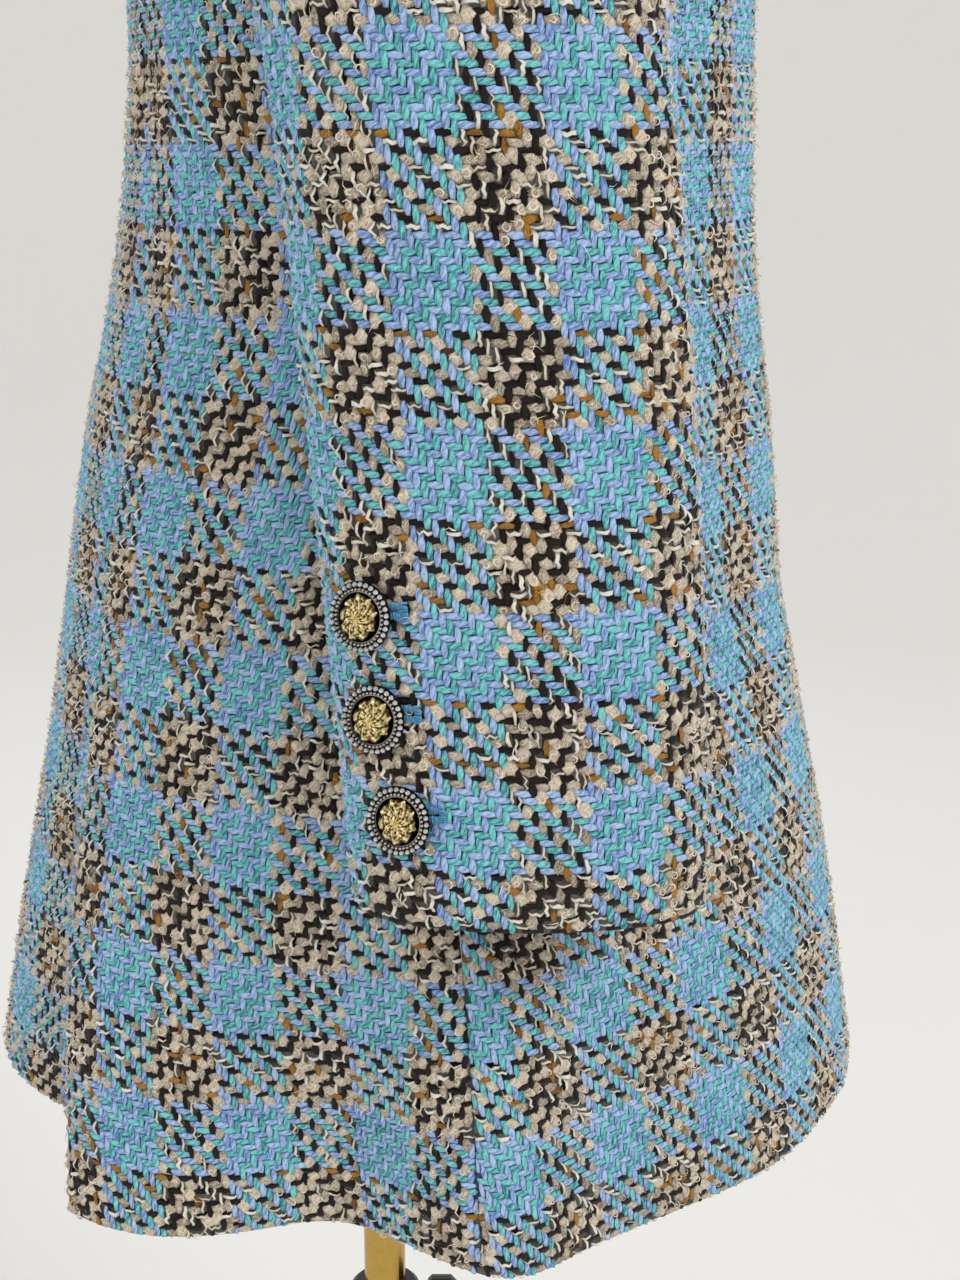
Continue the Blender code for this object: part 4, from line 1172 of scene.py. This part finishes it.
def buttonhole(name, surface, hole, towards):
    """The stitches of a buttonhole: close together down both sides of its slit and across its far end.
    surface takes distances along the slit and across it, and towards says which side of it is outside."""
    near, far, shift = hole
    rng = np.random.default_rng(7)
    along = np.arange(near, far - STITCH_LONG, STITCH_STEP)
    wide = np.arange(-SLIT - STITCH_LONG, SLIT + STITCH_LONG, STITCH_STEP)
    ends = [(x, shift + s * SLIT, x, shift + s * (SLIT + STITCH_LONG)) for x in along for s in (-1, 1)]
    ends += [(far - STITCH_LONG, shift + y, far, shift + y) for y in wide]
    ends = np.array(ends) + rng.normal(0, STITCH_STRAY, (len(ends), 4))
    t, s = (m.ravel()[None, :] for m in np.meshgrid(*STITCH_POINTS, indexing="ij"))
    x0, y0, x1, y1 = (column[:, None] for column in ends.T)
    longways = np.hypot(x1 - x0, y1 - y0)
    x = x0 + (x1 - x0) * t - (y1 - y0) / longways * s * STITCH_STEP
    y = y0 + (y1 - y0) * t + (x1 - x0) / longways * s * STITCH_STEP
    arch = 0.35 + 0.65 * np.minimum(4 * t * (1 - t) * 1.5, 1)
    rise = STITCH_HIGH * (0.45 + 0.55 * (1 - (2 * s) ** 2) * arch)
    here = surface(x, y)
    out = unit(np.cross(surface(x + TINY, y) - here, surface(x, y + TINY) - here))
    if (out.mean(axis=(0, 1)) * towards).sum() < 0:
        out = -out
    points = here + rise[..., None] * out
    across, upward = points[0, 1] - points[0, 0], points[0, 3] - points[0, 0]
    inward = (np.cross(across, upward) * out[0, 0]).sum() < 0
    faces = repeated(cells(3, 4), 12, np.full(len(points), inward))
    shown(name, mesh_of(name, points.reshape(-1, 3), [faces]), BLUE_THREAD)


def fastening(name, hole_name, surface, turn, level, towards, mirror, lean, scale, hole):
    """A button and its buttonhole at a turn and level of a surface, on the side that looks towards."""
    place, ahead, above_it = (
        surface(np.array(turn + more), np.array(level + up)) for more, up in ((0, 0), (1.0, 0), (0, 0.001))
    )
    out = np.cross(above_it - place, ahead - place)
    out = unit(out * np.sign((out * towards).sum()))
    speed = np.linalg.norm(ahead - place)
    button(name, place * mirror, out * mirror, lean, scale)
    buttonhole(
        hole_name, lambda x, y: surface(turn + x / speed, level + y) * mirror, hole, towards * mirror,
    )


for side, wearer in ((1, "right"), (-1, "left")):
    for number, (h, y, lean) in enumerate(CUFF_BUTTONS, start=1):
        angle = -math.degrees(math.asin((y - smooth(SLEEVE, 2, h)) / smooth(SLEEVE, 4, h)))
        fastening(
            f"cuff_button_{wearer}_{number}", f"cuff_buttonhole_{wearer}_{number}", tube, angle, h,
            np.array([-1, 0.3, 0]), np.array([side, 1, 1]), -side * math.radians(lean), 1.0, CUFF_HOLE,
        )
for number, level in enumerate(FRONT_BUTTONS, start=1):
    fastening(
        f"front_button_{number}", f"front_buttonhole_{number}", lifted(lambda turn, level: LAP), 0.0, level,
        np.array([0, -1, 0]), np.array([1, 1, 1]), 0.0, FRONT_BUTTON_SCALE, FRONT_HOLE,
    )


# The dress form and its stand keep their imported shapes. The form is covered in fine linen, the stand is
# polished brass, and the clamp and its knob are black plastic.
def finish_of(name, low, high, rough, grain, metallic=0.0, weave=0.0):
    """A plain finish: a slight change of colour and roughness, and a fine woven or grained bump."""
    made, tree, dress = new_finish(name)
    place = object_place(tree)
    fine = relief = speckle(place, grain, 3.0)
    if weave:
        x, y, z = (reckon("SINE", along * weave) for along in parted(place, 3))
        relief = z * (x + y) + fine * 1.5
    dress({
        "Base Color": blend(speckle(place, 14.0, 3.0) * 0.5 + fine * 0.5, low, high), "Metallic": metallic,
        "Roughness": blend(fine, rough - 0.05, rough + 0.07),
        "Normal": raised(relief, 0.30, 0.0003 if weave else 0.00006),
    })
    return made


LINEN = finish_of("linen_cover", paint(206, 198, 182), paint(232, 226, 212), 0.85, 600.0, weave=4200.0)
BRASS = finish_of("polished_brass", paint(150, 118, 52), paint(214, 178, 96), 0.22, 240.0, metallic=1.0)
PLASTIC = finish_of("black_plastic", paint(14, 14, 15), paint(34, 34, 36), 0.42, 900.0)
for node_name, finish in (
    ("form_torso", LINEN), ("inner_pole", BRASS), ("outer_pole", BRASS), ("stand_base", BRASS),
    ("clamp_collar", PLASTIC), ("clamp_knob", PLASTIC),
):
    for slot in bpy.data.objects[node_name].material_slots:
        slot.material = finish


# The floor and light: a pale round studio whose floor runs up into its wall, with broad soft lamps. The
# studio is a bowl: a flat disc, a quarter circle up from its edge, and an upright wall.
STUDIO_FLAT = 3.2
STUDIO_CURVE = 1.6
STUDIO_HIGH = 4.5
STUDIO_AROUND = 96
STUDIO_BEND = 24
LAMPS = (
    # name, place, size, power
    ("key", (-2.0, -1.9, 2.9), 1.2, 40),
    ("fill", (-1.6, 2.4, 2.2), 2.0, 14),
    ("far", (2.4, 0.6, 2.8), 2.2, 15),
)
LAMP_AIM = np.array([0, 0, 0.95])

bend = np.linspace(0, math.pi / 2, STUDIO_BEND)[1:]
radius = np.concatenate([
    [0.001, STUDIO_FLAT], STUDIO_FLAT + STUDIO_CURVE * np.sin(bend), [STUDIO_FLAT + STUDIO_CURVE],
])[:, None]
rise = np.concatenate([[0, 0], STUDIO_CURVE * (1 - np.cos(bend)), [STUDIO_HIGH]])[:, None]
turn = ring(STUDIO_AROUND)
bowl = stacked(radius * np.cos(turn), radius * np.sin(turn), rise)
quads = rings_around(bowl)[0][:, ::-1]
studio = placed("studio", mesh_of("studio", bowl.reshape(-1, 3), [quads]))
pale, _, dress_pale = new_finish("studio")
dress_pale({"Base Color": paint(243, 241, 237), "Roughness": 0.85})
studio.data.materials.append(pale)

for name, place, size, power in LAMPS:
    light = bpy.data.lights.new(name, "AREA")
    light.shape = "DISK"
    light.size = size
    light.energy = power
    lamp = placed(name, light)
    lamp.location = place
    towards = unit(LAMP_AIM - np.array(place))
    lamp.rotation_euler = (math.acos(-towards[2]), 0, math.atan2(towards[0], -towards[1]) + math.pi)

world = bpy.data.worlds.new("studio")
bpy.context.scene.world = world
world.use_nodes = True
sky = world.node_tree.nodes["Background"].inputs
feed(sky["Color"], (0.95, 0.97, 1.0, 1.0))
feed(sky["Strength"], 0.75)
bpy.context.scene.view_settings.view_transform = "Standard"
